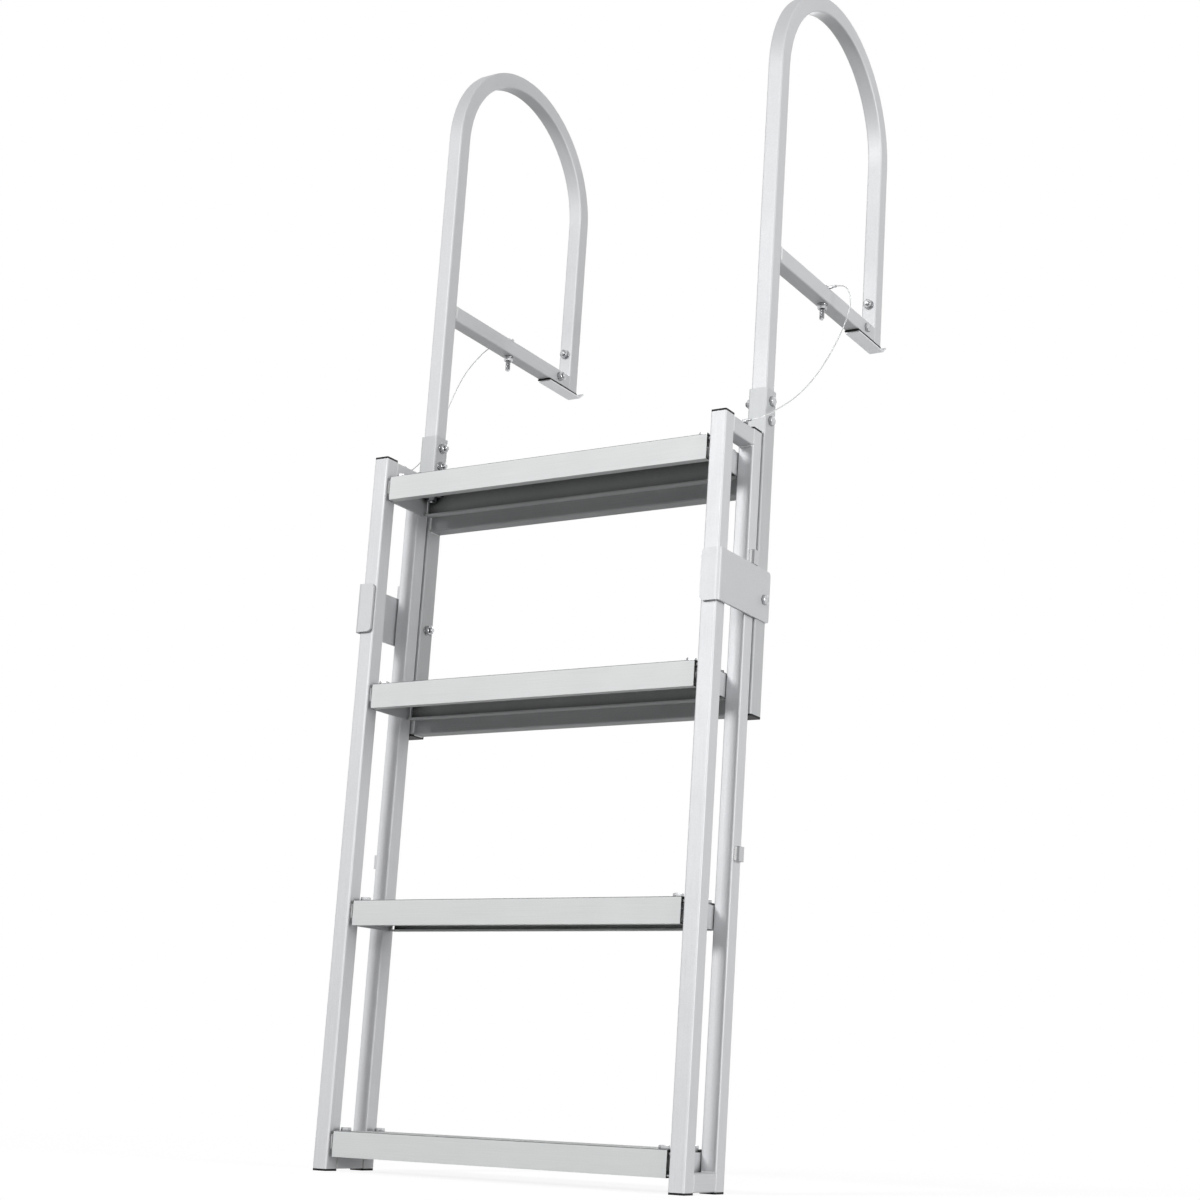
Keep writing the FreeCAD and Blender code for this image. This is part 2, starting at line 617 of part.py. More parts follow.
def tread(index):
    label = f"tread_{index + 1}"
    body = new_body(label, TREAD_START, LADDER_Y, TREAD_TOP_Z[index])
    height = "Sizes.tread_height"
    outside = rectangle(
        body, "YZ_Plane", f"{label}_outside", "Sizes.tread_depth", height, "0", f"-{height} / 2"
    )
    pad(body, outside, TREAD_LENGTH)
    fillet(body, "Sizes.tread_edge", on_line(0, Z="0"))
    low = "Sizes.tread_wall - Sizes.tread_height"
    wide = "Sizes.tread_depth / 2 - Sizes.tread_wall"
    narrow = "Sizes.tread_depth / 2 - Sizes.tread_lip"
    hollow = polygon(body, "YZ_Plane", f"{label}_hollow", [
        (f"-({wide})", low), (f"-({narrow})", low), (f"-({narrow})", "-Sizes.tread_height"),
        (narrow, "-Sizes.tread_height"), (narrow, low), (wide, low),
        (wide, "-Sizes.tread_top"), (f"-({wide})", "-Sizes.tread_top"),
    ])
    pocket(body, hollow, f"2 * {TREAD_LENGTH}", middle=True)
    tread_grooves(body, label)
    columns = [f"{column} - {TREAD_START}" for column in TREAD_BOLT_COLUMN.values()]
    spots = [(column, row) for column in columns for row in TREAD_BOLT_ROWS]
    holes = circles(body, "XY_Plane", f"{label}_holes", TREAD_HOLE, spots)
    pocket(body, holes, "Sizes.tread_height", middle=True)
    return keep(body, label)


def tread_grooves(body, label):
    """Row of grooves along the tread that leaves its anti-slip ribs."""
    count = int(number("(Sizes.tread_depth - 2 * Sizes.groove_pitch) / Sizes.groove_pitch"))
    first = f"-({count - 1}) * Sizes.groove_pitch / 2"
    groove = rectangle(
        body, "YZ_Plane", f"{label}_groove", "Sizes.groove_width", "2 * Sizes.groove_depth", first, "0"
    )
    cut = pocket(body, groove, f"2 * {TREAD_LENGTH}", middle=True)
    pattern = body.newObject("PartDesign::LinearPattern", f"{label}_grooves")
    pattern.Originals = [cut]
    pattern.Direction = (groove, ["H_Axis"])
    pattern.setExpression("Length", f"{count - 1} * Sizes.groove_pitch")
    pattern.Occurrences = count
    body.Tip = pattern
    doc.recompute()


def tread_shelf(name, side, index):
    """Angle welded to the front and rear rail that carries a tread's end."""
    x, outward = SIDES[side]
    body = new_body(name, x, LADDER_Y, f"{TREAD_TOP_Z[index]} - Sizes.tread_top")
    face = f"{-outward} * Sizes.tube_width / 2"
    plate = f"{-outward} * (Sizes.tube_width / 2 + Sizes.shelf_plate)"
    tip = f"{-outward} * (Sizes.tube_width / 2 + Sizes.shelf_plate + Sizes.shelf_width)"
    low = "Sizes.tread_top - Sizes.tread_height"
    profile = polygon(body, "XZ_Plane", f"{name}_profile", [
        (face, "0"), (tip, "0"), (tip, "-Sizes.shelf_plate"),
        (plate, "-Sizes.shelf_plate"), (plate, low), (face, low),
    ])
    depth = "Sizes.tread_depth - 2 * Sizes.tread_wall - 2 * Sizes.shelf_side_gap"
    pad(body, profile, depth, middle=True)
    fillet(body, "Sizes.shelf_round", on_line(0, Z=low))
    spots = [(f"{TREAD_BOLT_COLUMN[side]} - ({x})", row) for row in TREAD_BOLT_ROWS]
    holes = circles(body, "XY_Plane", f"{name}_holes", TREAD_HOLE, spots)
    pocket(body, holes, "Sizes.tread_height", middle=True)
    return body


def ladder_bolts(side):
    """Bolts through the treads' ends and their angles, and the lanyard's screw."""
    x, outward = SIDES[side]
    grip = "Sizes.tread_top + Sizes.shelf_plate"
    bolts = []
    for index, top in enumerate(TREAD_TOP_Z):
        for row, name in zip(TREAD_BOLT_ROWS, ("front", "rear")):
            spot = (TREAD_BOLT_COLUMN[side], f"{LADDER_Y} + ({row})", top)
            bolts.append(hex_bolt(
                f"{side}_tread_bolt_{index + 1}_{name}", "Sizes.tread_bolt", grip, "Sizes.tread_bolt_tail",
                spot, HEAD_UP))
    spot = (x, LADDER_Y, f"{RAIL_TOP_Z} + Sizes.eyelet_thickness")
    bolts.append(screw(f"{side}_lanyard_screw", "Sizes.lanyard_screw", "Sizes.lanyard_screw_length", spot))
    return gather(f"{side}_ladder_bolts", bolts)


# Bolts of the fixed frame

def post_bolts(side):
    """Two bolts hold the handrail in the post and one holds the slide bracket."""
    x, outward = SIDES[side]
    face = f"{x} + {outward} * Sizes.post_width / 2"
    plate = f"{x} + {outward} * (Sizes.post_width / 2 + Sizes.bracket_plate)"
    bolts = []
    for index, drop in enumerate(POST_BOLT_DROPS):
        spot = (face, POST_Y, f"{POST_TOP_Z} - ({drop})")
        name = f"{side}_post_bolt_{index + 1}"
        bolts.append(hex_bolt(
            name, "Sizes.frame_bolt", "Sizes.post_width", "Sizes.frame_bolt_tail", spot, HEAD_OUT[outward]))
    spot = (plate, POST_Y, f"{BRACKET_Z} + Sizes.bracket_bolt_rise")
    grip = "Sizes.post_width + Sizes.bracket_plate"
    bolts.append(hex_bolt(
        f"{side}_bracket_bolt", "Sizes.frame_bolt", grip, "Sizes.frame_bolt_tail", spot, HEAD_OUT[outward]))
    return gather(f"{side}_post_bolts", bolts)


def deck_bolts(side):
    """The bolt that goes down into the deck, and the two that hold the joiner."""
    x, outward = SIDES[side]
    bolt = "Sizes.frame_bolt"
    tail = "Sizes.frame_bolt_tail"
    grip = "Sizes.tube_width + Sizes.eyelet_thickness"
    spot = (x, DECK_BOLT_Y, f"{BAR_TOP_Z} + Sizes.eyelet_thickness")
    down = hex_bolt(f"{side}_deck_bolt", bolt, grip, "Sizes.deck_bolt_tail", spot, HEAD_UP)
    spot = (x, "Sizes.leg_setback + Sizes.tube_width / 2", f"{BAR_Z} + Sizes.leg_bolt_rise")
    leg = hex_bolt(f"{side}_leg_bolt", bolt, "Sizes.tube_width", tail, spot, HEAD_REAR)
    face = f"{x} + {outward} * Sizes.tube_width / 2"
    spot = (face, "Sizes.leg_setback - Sizes.bar_bolt_reach", f"{BAR_Z} + Sizes.tube_width / 2")
    bar = hex_bolt(f"{side}_bar_bolt", bolt, "Sizes.tube_width", tail, spot, HEAD_OUT[outward])
    return gather(f"{side}_deck_bolts", [down, leg, bar])


# Lanyards: thin wire ropes between eyelets under the deck bolts and eyelets
# on the ladder's top spacers

def eyelet(name, side, hole, y, surface):
    """Flat ring on the given surface, with a crimp sleeve that points outward."""
    x, outward = SIDES[side]
    body = new_body(name, x, y, surface)
    ring = circles(body, "XY_Plane", f"{name}_ring", "Sizes.eyelet_width", [("0", "0")])
    pad(body, ring, "Sizes.eyelet_thickness")
    reach = "(Sizes.sleeve_reach + Sizes.sleeve_length / 2)"
    width = "Sizes.sleeve_diameter"
    tongue = rectangle(body, "XY_Plane", f"{name}_tongue", reach, width, f"{outward} * {reach} / 2")
    pad(body, tongue, "Sizes.eyelet_thickness")
    height = "Sizes.sleeve_diameter / 2 + Sizes.sleeve_clearance"
    start = f"{outward} * Sizes.sleeve_reach"
    sleeve = circles(body, "YZ_Plane", f"{name}_sleeve", width, [("0", height)], start)
    pad(body, sleeve, "Sizes.sleeve_length", reverse=outward < 0)
    bore = circles(body, "XY_Plane", f"{name}_bore", hole, [("0", "0")])
    pocket(body, bore, "2 * Sizes.eyelet_width", middle=True)
    return body


# Points of each cord: outward from the side's axis, then Y and Z. The left rope
# hangs further forward than the right one.
CORD_ROUTE = {
    "left": [
        (23, -153, 31.6),
        (33, -153, 31.6),
        (42, -156, 24),
        (45, -165, 13.5),
        (45, -183, -7),
        (44, -204, -32.5),
        (43, -222, -60),
        (42, -236, -87),
        (41, -256, -128),
        (40, -279, -176),
        (40, -299, -214),
        (39, -318, -240),
        (38, -343, -258),
        (40, -366, -266),
        (42, -381, -270),
        (39.5, -392, -271.6),
        (31.5, -397, -271.9),
        (23, -397, -271.9),
    ],
    "right": [
        (23, -153, 31.6),
        (33, -153, 31.6),
        (41.5, -150, 26.5),
        (45, -145.5, 15),
        (45, -144.5, -1),
        (43, -153, -28),
        (40, -171, -65),
        (37, -198, -107),
        (34, -230, -148),
        (32, -268, -186),
        (32, -307, -216),
        (34, -342, -238),
        (38, -368, -254),
        (41, -383, -262),
        (39, -392.5, -268),
        (32, -397, -271.9),
        (23, -397, -271.9),
    ],
}

BEND_SHARE = 0.45  # part of the shorter run that a bend may take up


def cord_path(points):
    """Straight runs joined by tangent arcs as large as the runs allow."""
    edges = []
    start = points[0]
    for before, corner, after in zip(points, points[1:], points[2:]):
        incoming = (corner - before).normalize()
        outgoing = (after - corner).normalize()
        turn = incoming.getAngle(outgoing)
        run = min((corner - before).Length, (after - corner).Length)
        cut = BEND_SHARE * run
        radius = cut / math.tan(turn / 2)
        first = corner - incoming * cut
        last = corner + outgoing * cut
        inward = (outgoing - incoming).normalize()
        middle = corner + inward * (radius / math.cos(turn / 2) - radius)
        edges.append(Part.LineSegment(start, first).toShape())
        edges.append(Part.Arc(first, middle, last).toShape())
        print(f"cord bend radius {radius:.1f} mm")
        start = last
    edges.append(Part.LineSegment(start, points[-1]).toShape())
    return Part.Wire(edges)


def lanyard(side):
    x, outward = SIDES[side]
    points = [FreeCAD.Vector(number(x) + outward * u, v, w) for u, v, w in CORD_ROUTE[side]]
    path = cord_path(points)
    direction = points[1] - points[0]
    radius = number("Sizes.cord_diameter / 2")
    ring = Part.Wire([Part.Circle(points[0], direction, radius).toShape()])
    cord = doc.addObject("Part::Feature", f"{side}_lanyard")
    cord.Shape = path.makePipeShell([ring], True, False)
    print(f"{side} lanyard length {path.Length:.1f} mm, "
          f"volume ratio {cord.Shape.Volume / (math.pi * radius ** 2 * path.Length):.4f}")
    return keep(cord, f"{side}_lanyard")


# The whole ladder

for side in SIDES:
    handrail(side)
    deck_bar(side)
    elbow_joiner(side)
    deck_pad(side)
    deck_plate(side)
    post(side)
    slide_bracket(side)
    post_bolts(side)
    deck_bolts(side)
    x, outward = SIDES[side]
    plug = end_cap(f"{side}_post_plug", "Sizes.post_width", x, POST_Y, POST_BOTTOM_Z, False)
    keep(plug, f"{side}_post_plug")

cross_tube("upper_cross_tube", f"{POST_TOP_Z} - Sizes.cross_upper_drop")
cross_tube("lower_cross_tube", f"{POST_BOTTOM_Z} + Sizes.tube_width")

for side in SIDES:
    x, outward = SIDES[side]
    caps = []
    for name, y in (("front", FRONT_RAIL_Y), ("rear", REAR_RAIL_Y)):
        rail = f"{side}_{name}_rail"
        position = (x, y, RAIL_Z)
        keep(square_tube(rail, "XY_Plane", "Sizes.tube_width", "Sizes.rail_length", position), rail)
        caps.append(end_cap(f"{rail}_top_cap", "Sizes.tube_width", x, y, RAIL_TOP_Z, True))
        caps.append(end_cap(f"{rail}_bottom_cap", "Sizes.tube_width", x, y, RAIL_Z, False))
    gather(f"{side}_rail_caps", caps)
    spacers(side)
    upper = stop(f"{side}_upper_stop", side, f"{FOOT_Z} + Sizes.upper_stop_height")
    lower = stop(f"{side}_lower_stop", side, f"{LOWER_STOP_TOP_Z} - Sizes.stop_height")
    gather(f"{side}_stops", [upper, lower])
    shelves = [tread_shelf(f"{side}_shelf_{index + 1}", side, index) for index in range(len(TREAD_TOP_Z))]
    gather(f"{side}_tread_brackets", shelves)
    ladder_bolts(side)
    lanyard(side)

gather("upper_eyelets", [
    eyelet(f"{side}_upper_eyelet", side, FRAME_HOLE, DECK_BOLT_Y, BAR_TOP_Z) for side in SIDES])
gather("lower_eyelets", [
    eyelet(f"{side}_lower_eyelet", side, SCREW_HOLE, LADDER_Y, RAIL_TOP_Z) for side in SIDES])

for index in range(len(TREAD_TOP_Z)):
    tread(index)

doc.recompute()

# Every object is sound before anything is written

for item in doc.Objects:
    if "Invalid" in item.State or "Error" in item.State:
        raise RuntimeError(f"{item.Label} failed: {item.State}")
for item in nodes:
    if item.Shape.isNull() or not item.Shape.isValid():
        raise RuntimeError(f"{item.Label} has no valid shape")

os.makedirs("parts", exist_ok=True)
for item in nodes:
    item.Shape.exportStep(f"parts/{item.Label}.step")
    print(f"{item.Label}: {len(item.Shape.Solids)} solid(s), {item.Shape.Volume / 1000:.1f} cm3")
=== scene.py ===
import bmesh
import bpy
import math
from mathutils import Matrix, Vector


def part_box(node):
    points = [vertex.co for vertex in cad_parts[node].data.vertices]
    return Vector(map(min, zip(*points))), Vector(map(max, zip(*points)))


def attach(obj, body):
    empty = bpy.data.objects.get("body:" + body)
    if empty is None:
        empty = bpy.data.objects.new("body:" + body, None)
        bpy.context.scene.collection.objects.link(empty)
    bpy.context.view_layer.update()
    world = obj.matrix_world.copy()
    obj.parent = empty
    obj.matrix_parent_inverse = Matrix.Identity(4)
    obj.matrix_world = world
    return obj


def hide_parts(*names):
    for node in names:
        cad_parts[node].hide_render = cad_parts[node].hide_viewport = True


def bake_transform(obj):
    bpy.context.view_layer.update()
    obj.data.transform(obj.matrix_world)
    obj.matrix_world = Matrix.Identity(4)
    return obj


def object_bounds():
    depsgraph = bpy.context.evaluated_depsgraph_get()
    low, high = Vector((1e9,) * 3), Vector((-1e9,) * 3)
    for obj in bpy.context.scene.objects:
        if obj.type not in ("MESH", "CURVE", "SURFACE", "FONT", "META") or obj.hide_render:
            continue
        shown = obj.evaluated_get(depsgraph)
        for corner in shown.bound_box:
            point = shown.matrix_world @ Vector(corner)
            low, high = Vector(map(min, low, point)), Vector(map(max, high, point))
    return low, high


# A lift-up dock ladder of square aluminium tube, dressed around its CAD frame.
# Lengths are millimetres where they are written and metres in the meshes.

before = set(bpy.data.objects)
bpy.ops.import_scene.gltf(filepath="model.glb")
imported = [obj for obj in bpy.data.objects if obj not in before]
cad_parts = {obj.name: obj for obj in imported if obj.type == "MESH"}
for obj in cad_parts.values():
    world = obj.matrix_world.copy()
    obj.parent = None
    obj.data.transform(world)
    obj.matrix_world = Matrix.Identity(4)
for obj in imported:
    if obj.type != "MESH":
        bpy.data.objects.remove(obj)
cad_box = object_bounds()

MM = 0.001

# Camera: the place, turn and lens that were worked out from the photograph's
# straight edges. The frame is shifted because the photograph is cropped off
# its lens's axis. No depth of field.

lens = bpy.data.cameras.new("photo_camera")
lens.sensor_width = 36
lens.lens = 58.1536
lens.shift_x = -0.17804
lens.shift_y = 0.11963
lens.clip_start = 0.01
lens.clip_end = 100
camera = bpy.data.objects.new("photo_camera", lens)
camera.location = (1.9252464, -2.6703648, -1.2280837)
camera.rotation_euler = [math.radians(turn) for turn in (100.67088867, -2.47046235, 27.00322395)]
bpy.context.scene.collection.objects.link(camera)
bpy.context.scene.camera = camera
bpy.context.scene.view_settings.view_transform = "Standard"

# Studio: a pale floor under the ladder's feet, a white surround, and four
# soft lamps. Two stand in front above the eye, as the shadows under the treads
# show, one to the right, and a weaker one lights the back.


def linear(code):
    """Linear colour of an sRGB hex value."""
    shares = [int(code[start:start + 2], 16) / 255 for start in (1, 3, 5)]
    return [
        share / 12.92 if share <= 0.04045 else ((share + 0.055) / 1.055) ** 2.4
        for share in shares] + [1]


def add_node(tree, kind, inputs=(), **settings):
    """Add a node with its settings. Each input is a value or the socket that feeds it."""
    node = tree.nodes.new(kind)
    for name, value in settings.items():
        setattr(node, name, value)
    for name, value in dict(inputs).items():
        if isinstance(value, bpy.types.NodeSocket):
            tree.links.new(value, node.inputs[name])
        else:
            node.inputs[name].default_value = value
    return node


def new_material(name):
    """Material of one name and its empty node tree."""
    material = bpy.data.materials.new(name)
    material.use_nodes = True
    material.node_tree.nodes.clear()
    return material, material.node_tree


def object_place(tree):
    """Place of a point in its piece's own axes."""
    return add_node(tree, "ShaderNodeTexCoord").outputs["Object"]


def seen_directly(tree):
    """1 for what the camera, a reflection or a see-through part sees, else 0."""
    ray = add_node(tree, "ShaderNodeLightPath")
    mirrored = add_node(tree, "ShaderNodeMath", {
        0: ray.outputs["Is Camera Ray"], 1: ray.outputs["Is Glossy Ray"]}, operation="ADD")
    through = add_node(tree, "ShaderNodeMath", {
        0: mirrored.outputs[0], 1: ray.outputs["Is Transmission Ray"]},
        operation="ADD", use_clamp=True)
    return through.outputs[0]


SURROUND_LIGHT = 0.05
surround = bpy.data.worlds.new("white_surround")
surround.use_nodes = True
surround.node_tree.nodes.clear()
tree = surround.node_tree
white = add_node(tree, "ShaderNodeBackground", {"Color": linear("#ffffff"), "Strength": 1})
dim = add_node(tree, "ShaderNodeBackground", {
    "Color": linear("#ffffff"), "Strength": SURROUND_LIGHT})
both = add_node(tree, "ShaderNodeMixShader", {
    0: seen_directly(tree), 1: dim.outputs[0], 2: white.outputs[0]})
add_node(tree, "ShaderNodeOutputWorld", {"Surface": both.outputs[0]})
bpy.context.scene.world = surround

# Matt painted floor. Light that it throws back on the ladder is that of a mid
# grey; seen directly it is white, with the ladder's soft shadow on it, and the
# shadow's share fades out towards the floor's edge.
FLOOR_RADIUS = 7
SHADOW_CENTRE = (0.3, -0.3, 0)
FULL_SHADOW = 0.6
NO_SHADOW = 2.6
SHADOW_GLOW = 0.76
paint, tree = new_material("matt_white_floor")
apart = add_node(tree, "ShaderNodeVectorMath", {
    0: object_place(tree), 1: SHADOW_CENTRE}, operation="DISTANCE")
near = add_node(tree, "ShaderNodeMapRange", {
    "Value": apart.outputs["Value"], "From Min": FULL_SHADOW, "From Max": NO_SHADOW,
    "To Min": 1, "To Max": 0})
shaded = add_node(tree, "ShaderNodeBsdfDiffuse", {"Color": linear("#b9b9b9")})
glow = add_node(tree, "ShaderNodeEmission", {"Color": linear("#ffffff"), "Strength": SHADOW_GLOW})
shadow_side = add_node(tree, "ShaderNodeAddShader", {0: shaded.outputs[0], 1: glow.outputs[0]})
plain_side = add_node(tree, "ShaderNodeEmission", {"Color": linear("#ffffff"), "Strength": 1})
floor_seen = add_node(tree, "ShaderNodeMixShader", {
    0: near.outputs[0], 1: plain_side.outputs[0], 2: shadow_side.outputs[0]})
floor_lit = add_node(tree, "ShaderNodeBsdfDiffuse", {"Color": linear("#808080")})
floor_both = add_node(tree, "ShaderNodeMixShader", {
    0: seen_directly(tree), 1: floor_lit.outputs[0], 2: floor_seen.outputs[0]})
add_node(tree, "ShaderNodeOutputMaterial", {"Surface": floor_both.outputs[0]})

bpy.ops.object.select_all(action="DESELECT")
bpy.ops.mesh.primitive_circle_add(
    vertices=96, radius=FLOOR_RADIUS, fill_type="NGON", location=(0, 0, cad_box[0][2]))
bpy.ops.object.transform_apply(location=True, rotation=True, scale=True)
floor = bpy.context.object
floor.name = "studio_floor"
floor.data.materials.append(paint)

AIM = Vector((0.3, -0.3, -0.6))


def soft_lamp(name, place, width, power):
    """Square lamp at a place, turned to the middle of the ladder."""
    light = bpy.data.lights.new(name, "AREA")
    light.shape = "SQUARE"
    light.size = width
    light.energy = power
    lamp = bpy.data.objects.new(name, light)
    lamp.location = place
    lamp.rotation_euler = (AIM - Vector(place)).to_track_quat("-Z", "Y").to_euler()
    bpy.context.scene.collection.objects.link(lamp)


# Places and widths in metres, powers in watts
soft_lamp("front_lamp", (-1.2, -7.0, 1.6), 1.4, 275)
soft_lamp("near_lamp", (3.2, -6.2, 1.2), 1.4, 68)
soft_lamp("right_lamp", (8.0, -0.9, -0.3), 2.6, 345)
soft_lamp("rear_lamp", (-0.8, 4.2, 1.6), 2.4, 80)

# Posts and the two cross tubes between them: square aluminium tube, extruded,
# sawn to length and anodised after a light blasting. The cross tubes are
# welded to the inner faces of the posts.

DRAWN = 0.012  # scale of the die lines along the bar, against 1 across it
UPRIGHT = (1, 1, DRAWN)
SIDEWAYS = (DRAWN, 1, 1)
FORE_AFT = (1, DRAWN, 1)
EVERY_WAY = (1, 1, 1)


def noise(tree, place, size, detail, roughness=0.5):
    """Share from 0 to 1 that wanders over a size in millimetres."""
    return add_node(tree, "ShaderNodeTexNoise", {
        "Vector": place, "Scale": 1 / (size * MM), "Detail": detail,
        "Roughness": roughness}).outputs[0]


def weighed(tree, value, weight, rest):
    """The value times its weight, plus the rest."""
    return add_node(tree, "ShaderNodeMath", {
        0: value, 1: weight, 2: rest}, operation="MULTIPLY_ADD").outputs[0]


def mix(tree, share, first, second):
    """First tone where the share is 0, second where it is 1."""
    return add_node(tree, "ShaderNodeMix", {
        0: share, 6: first, 7: second}, data_type="RGBA").outputs[2]


def relief(tree, height, depth, strength):
    """Normal of a fine relief, with its depth in millimetres."""
    return add_node(tree, "ShaderNodeBump", {
        "Strength": strength, "Distance": depth * MM, "Height": height}).outputs[0]


def cover(tree, inputs):
    """Close a material's tree with a surface of these inputs."""
    surface = add_node(tree, "ShaderNodeBsdfPrincipled", inputs)
    add_node(tree, "ShaderNodeOutputMaterial", {"Surface": surface.outputs[0]})


def painted_hollow_shade(tree, tone, colour, reach, clear=0.9):
    """Paint shade into corners and hollows, as far as reach in millimetres: a deep
    tone mixed in by ambient occlusion. Where the share of open sky is clear or more, the tone
    stays."""
    sky = add_node(tree, "ShaderNodeAmbientOcclusion", {"Distance": reach * MM}, samples=8)
    bare = add_node(tree, "ShaderNodeMapRange", {
        "Value": sky.outputs["AO"], "From Min": 0.35 * clear, "From Max": clear})
    return mix(tree, bare.outputs[0], linear(colour), tone)


def anodised_aluminium(name, pale, deep, run, metallic=0.32, gloss=0.5, painted_dark_edge=None, hollow=0):
    """Satin anodised aluminium. Blasting leaves a fine grain of pale and deep
    specks and the die leaves faint lines along the bar's run. The grain is
    near 0.3 mm and is drawn at 1.4 mm, so that it shows in the picture. The
    blasted face scatters most light as a matt one does, so it is metallic
    only in part. Rounded upper edges may have a dark tone, a painted dark
    reflection, and hollows of a reach in millimetres painted shade."""
    material, tree = new_material(name)
    place = object_place(tree)
    grain = noise(tree, place, 1.4, 2, roughness=0.6)
    patches = noise(tree, place, 90, 3)
    stretched = add_node(tree, "ShaderNodeMapping", {"Vector": place, "Scale": run})
    lines = noise(tree, stretched.outputs[0], 1.1, 2)
    cloudy = weighed(tree, patches, 0.35, weighed(tree, grain, 0.6, 0.2))
    streaky = weighed(tree, lines, 0.45, cloudy)
    spread = {"Value": streaky, "From Min": 0.62, "From Max": 1.18}
    share = add_node(tree, "ShaderNodeMapRange", spread)
    tone = mix(tree, share.outputs[0], linear(deep), linear(pale))
    dullness = add_node(tree, "ShaderNodeMapRange", {**spread, "To Min": 0.62, "To Max": 0.5})
    if painted_dark_edge:
        facing = add_node(tree, "ShaderNodeSeparateXYZ", {
            0: add_node(tree, "ShaderNodeTexCoord").outputs["Normal"]})
        # Painted dark reflection on rounded edges, neither level nor upright: 1 where the normal's
        # Z is 0.56, give or take 0.36
        turned = add_node(tree, "ShaderNodeMath", {
            0: facing.outputs["Z"], 1: 0.56, 2: 0.36}, operation="COMPARE")
        tone = mix(tree, turned.outputs[0], tone, linear(painted_dark_edge))
    # Painted shade: a deep tone mixed into hollows within the reach, by ambient occlusion
    if hollow:
        tone = painted_hollow_shade(tree, tone, "#242526", hollow, clear=0.74)
    cover(tree, {
        "Base Color": tone, "Metallic": metallic, "Specular IOR Level": gloss,
        "Roughness": dullness.outputs[0],
        "Normal": relief(tree, weighed(tree, lines, 0.5, grain), 0.06, 0.35)})
    return material


post_tube = anodised_aluminium("anodised_post_tube", "#cdcfd0", "#bfc1c2", UPRIGHT, metallic=0.2)
# The cross tubes take a darker tone than the posts: painted shade for the shadow under the treads.
cross_tube = anodised_aluminium(
    "anodised_cross_tube_painted_shade", "#c4c6c7", "#b6b8b9", SIDEWAYS, metallic=0.1, gloss=0.3)


def finish_node(material, *names):
    """Give CAD nodes their finish."""
    for name in names:
        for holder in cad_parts[name].material_slots:
            holder.material = material


def both_sides(name):
    """Names of a node's two twins."""
    return f"left_{name}", f"right_{name}"


finish_node(post_tube, *both_sides("post"))
finish_node(cross_tube, "upper_cross_tube", "lower_cross_tube")


def shade_round(piece, angle=35):
    """Smooth the gentle edges of a finished piece and keep the sharp ones."""
    bpy.ops.object.select_all(action="DESELECT")
    piece.select_set(True)
    bpy.context.view_layer.objects.active = piece
    bpy.ops.object.shade_smooth_by_angle(angle=math.radians(angle))


BEAD_END = 0.62   # radius of a bead's ends, as a share of its full radius
BEAD_NECK = 0.86  # radius between two ripples, as such a share


def weld_bead(length, radius=2.0, ripple=1.5):
    """Master of a weld bead along +Z: a round run with the ripples that the
    torch leaves. Half of it or more sinks into the joint's corner."""
    count = max(3, round(length / ripple))
    step = length * MM / count
    bpy.ops.object.select_all(action="DESELECT")
    bpy.ops.mesh.primitive_circle_add(
        vertices=10, radius=BEAD_END * radius * MM, fill_type="NGON")
    bead = bpy.context.object
    bpy.ops.object.mode_set(mode="EDIT")
    for index in range(count):
        swell = 1 / BEAD_END if index == 0 else 1 / BEAD_NECK
        pinch = BEAD_END if index == count - 1 else BEAD_NECK
        bpy.ops.mesh.extrude_region_move(TRANSFORM_OT_translate={"value": (0, 0, 0.45 * step)})
        bpy.ops.transform.resize(value=(swell, swell, 1))
        bpy.ops.mesh.extrude_region_move(TRANSFORM_OT_translate={"value": (0, 0, 0.55 * step)})
        bpy.ops.transform.resize(value=(pinch, pinch, 1))
    bpy.ops.mesh.select_all(action="SELECT")
    bpy.ops.mesh.normals_make_consistent(inside=False)
    bpy.ops.object.mode_set(mode="OBJECT")
    return take_mesh(bead)


def take_mesh(piece):
    """Keep a master's mesh and remove its object."""
    mesh = piece.data
    bpy.data.objects.remove(piece)
    return mesh


def run_from(start, end):
    """Place of a master that begins at start and points to end, in millimetres."""
    first, last = Vector(start) * MM, Vector(end) * MM
    turn = Vector((0, 0, 1)).rotation_difference(last - first)
    return Matrix.Translation(first) @ turn.to_matrix().to_4x4()


def join_copies(name, copies, material, body):
    """One piece of copies of masters, each a mesh and its place."""
    joined = bmesh.new()
    for mesh, place in copies:
        copy = mesh.copy()
        copy.transform(place)
        joined.from_mesh(copy)
        bpy.data.meshes.remove(copy)
    mesh = bpy.data.meshes.new(name)
    joined.to_mesh(mesh)
    joined.free()
    mesh.materials.clear()
    mesh.materials.append(material)
    piece = bpy.data.objects.new(name, mesh)
    bpy.context.scene.collection.objects.link(piece)
    shade_round(piece)
    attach(piece, body)
    return piece


# Weld metal is the same alloy, left as it cooled: brighter and glossier than
# the blasted tube, a little uneven from ripple to ripple. Where a bead lies
# deep in a joint, a dark tone is mixed in as painted shade.
weld_metal, tree = new_material("aluminium_weld")
scale_marks = noise(tree, object_place(tree), 2.2, 3)
weld_tone = mix(tree, scale_marks, linear("#dfe0e1"), linear("#fcfcfc"))
cover(tree, {
    "Base Color": painted_hollow_shade(tree, weld_tone, "#2c2d2e", 6, clear=0.4),
    "Metallic": 0.1, "Roughness": 0.34, "Normal": relief(tree, scale_marks, 0.15, 0.4)})


def box(name):
    """Lowest and highest corner of a CAD node, in millimetres to three places."""
    return [Vector([round(value / MM, 3) for value in corner]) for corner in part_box(name)]


def middle(name):
    """Middle of a CAD node's box, in millimetres."""
    low, high = box(name)
    return (low + high) / 2


TUBE = 25
POST = 30
SIDE_X = {side: middle(f"{side}_post").x for side in ("left", "right")}
OUTWARD = {"left": -1, "right": 1}
WELD_INSET = 2.5  # a bead stops short of the tube's rounded corner

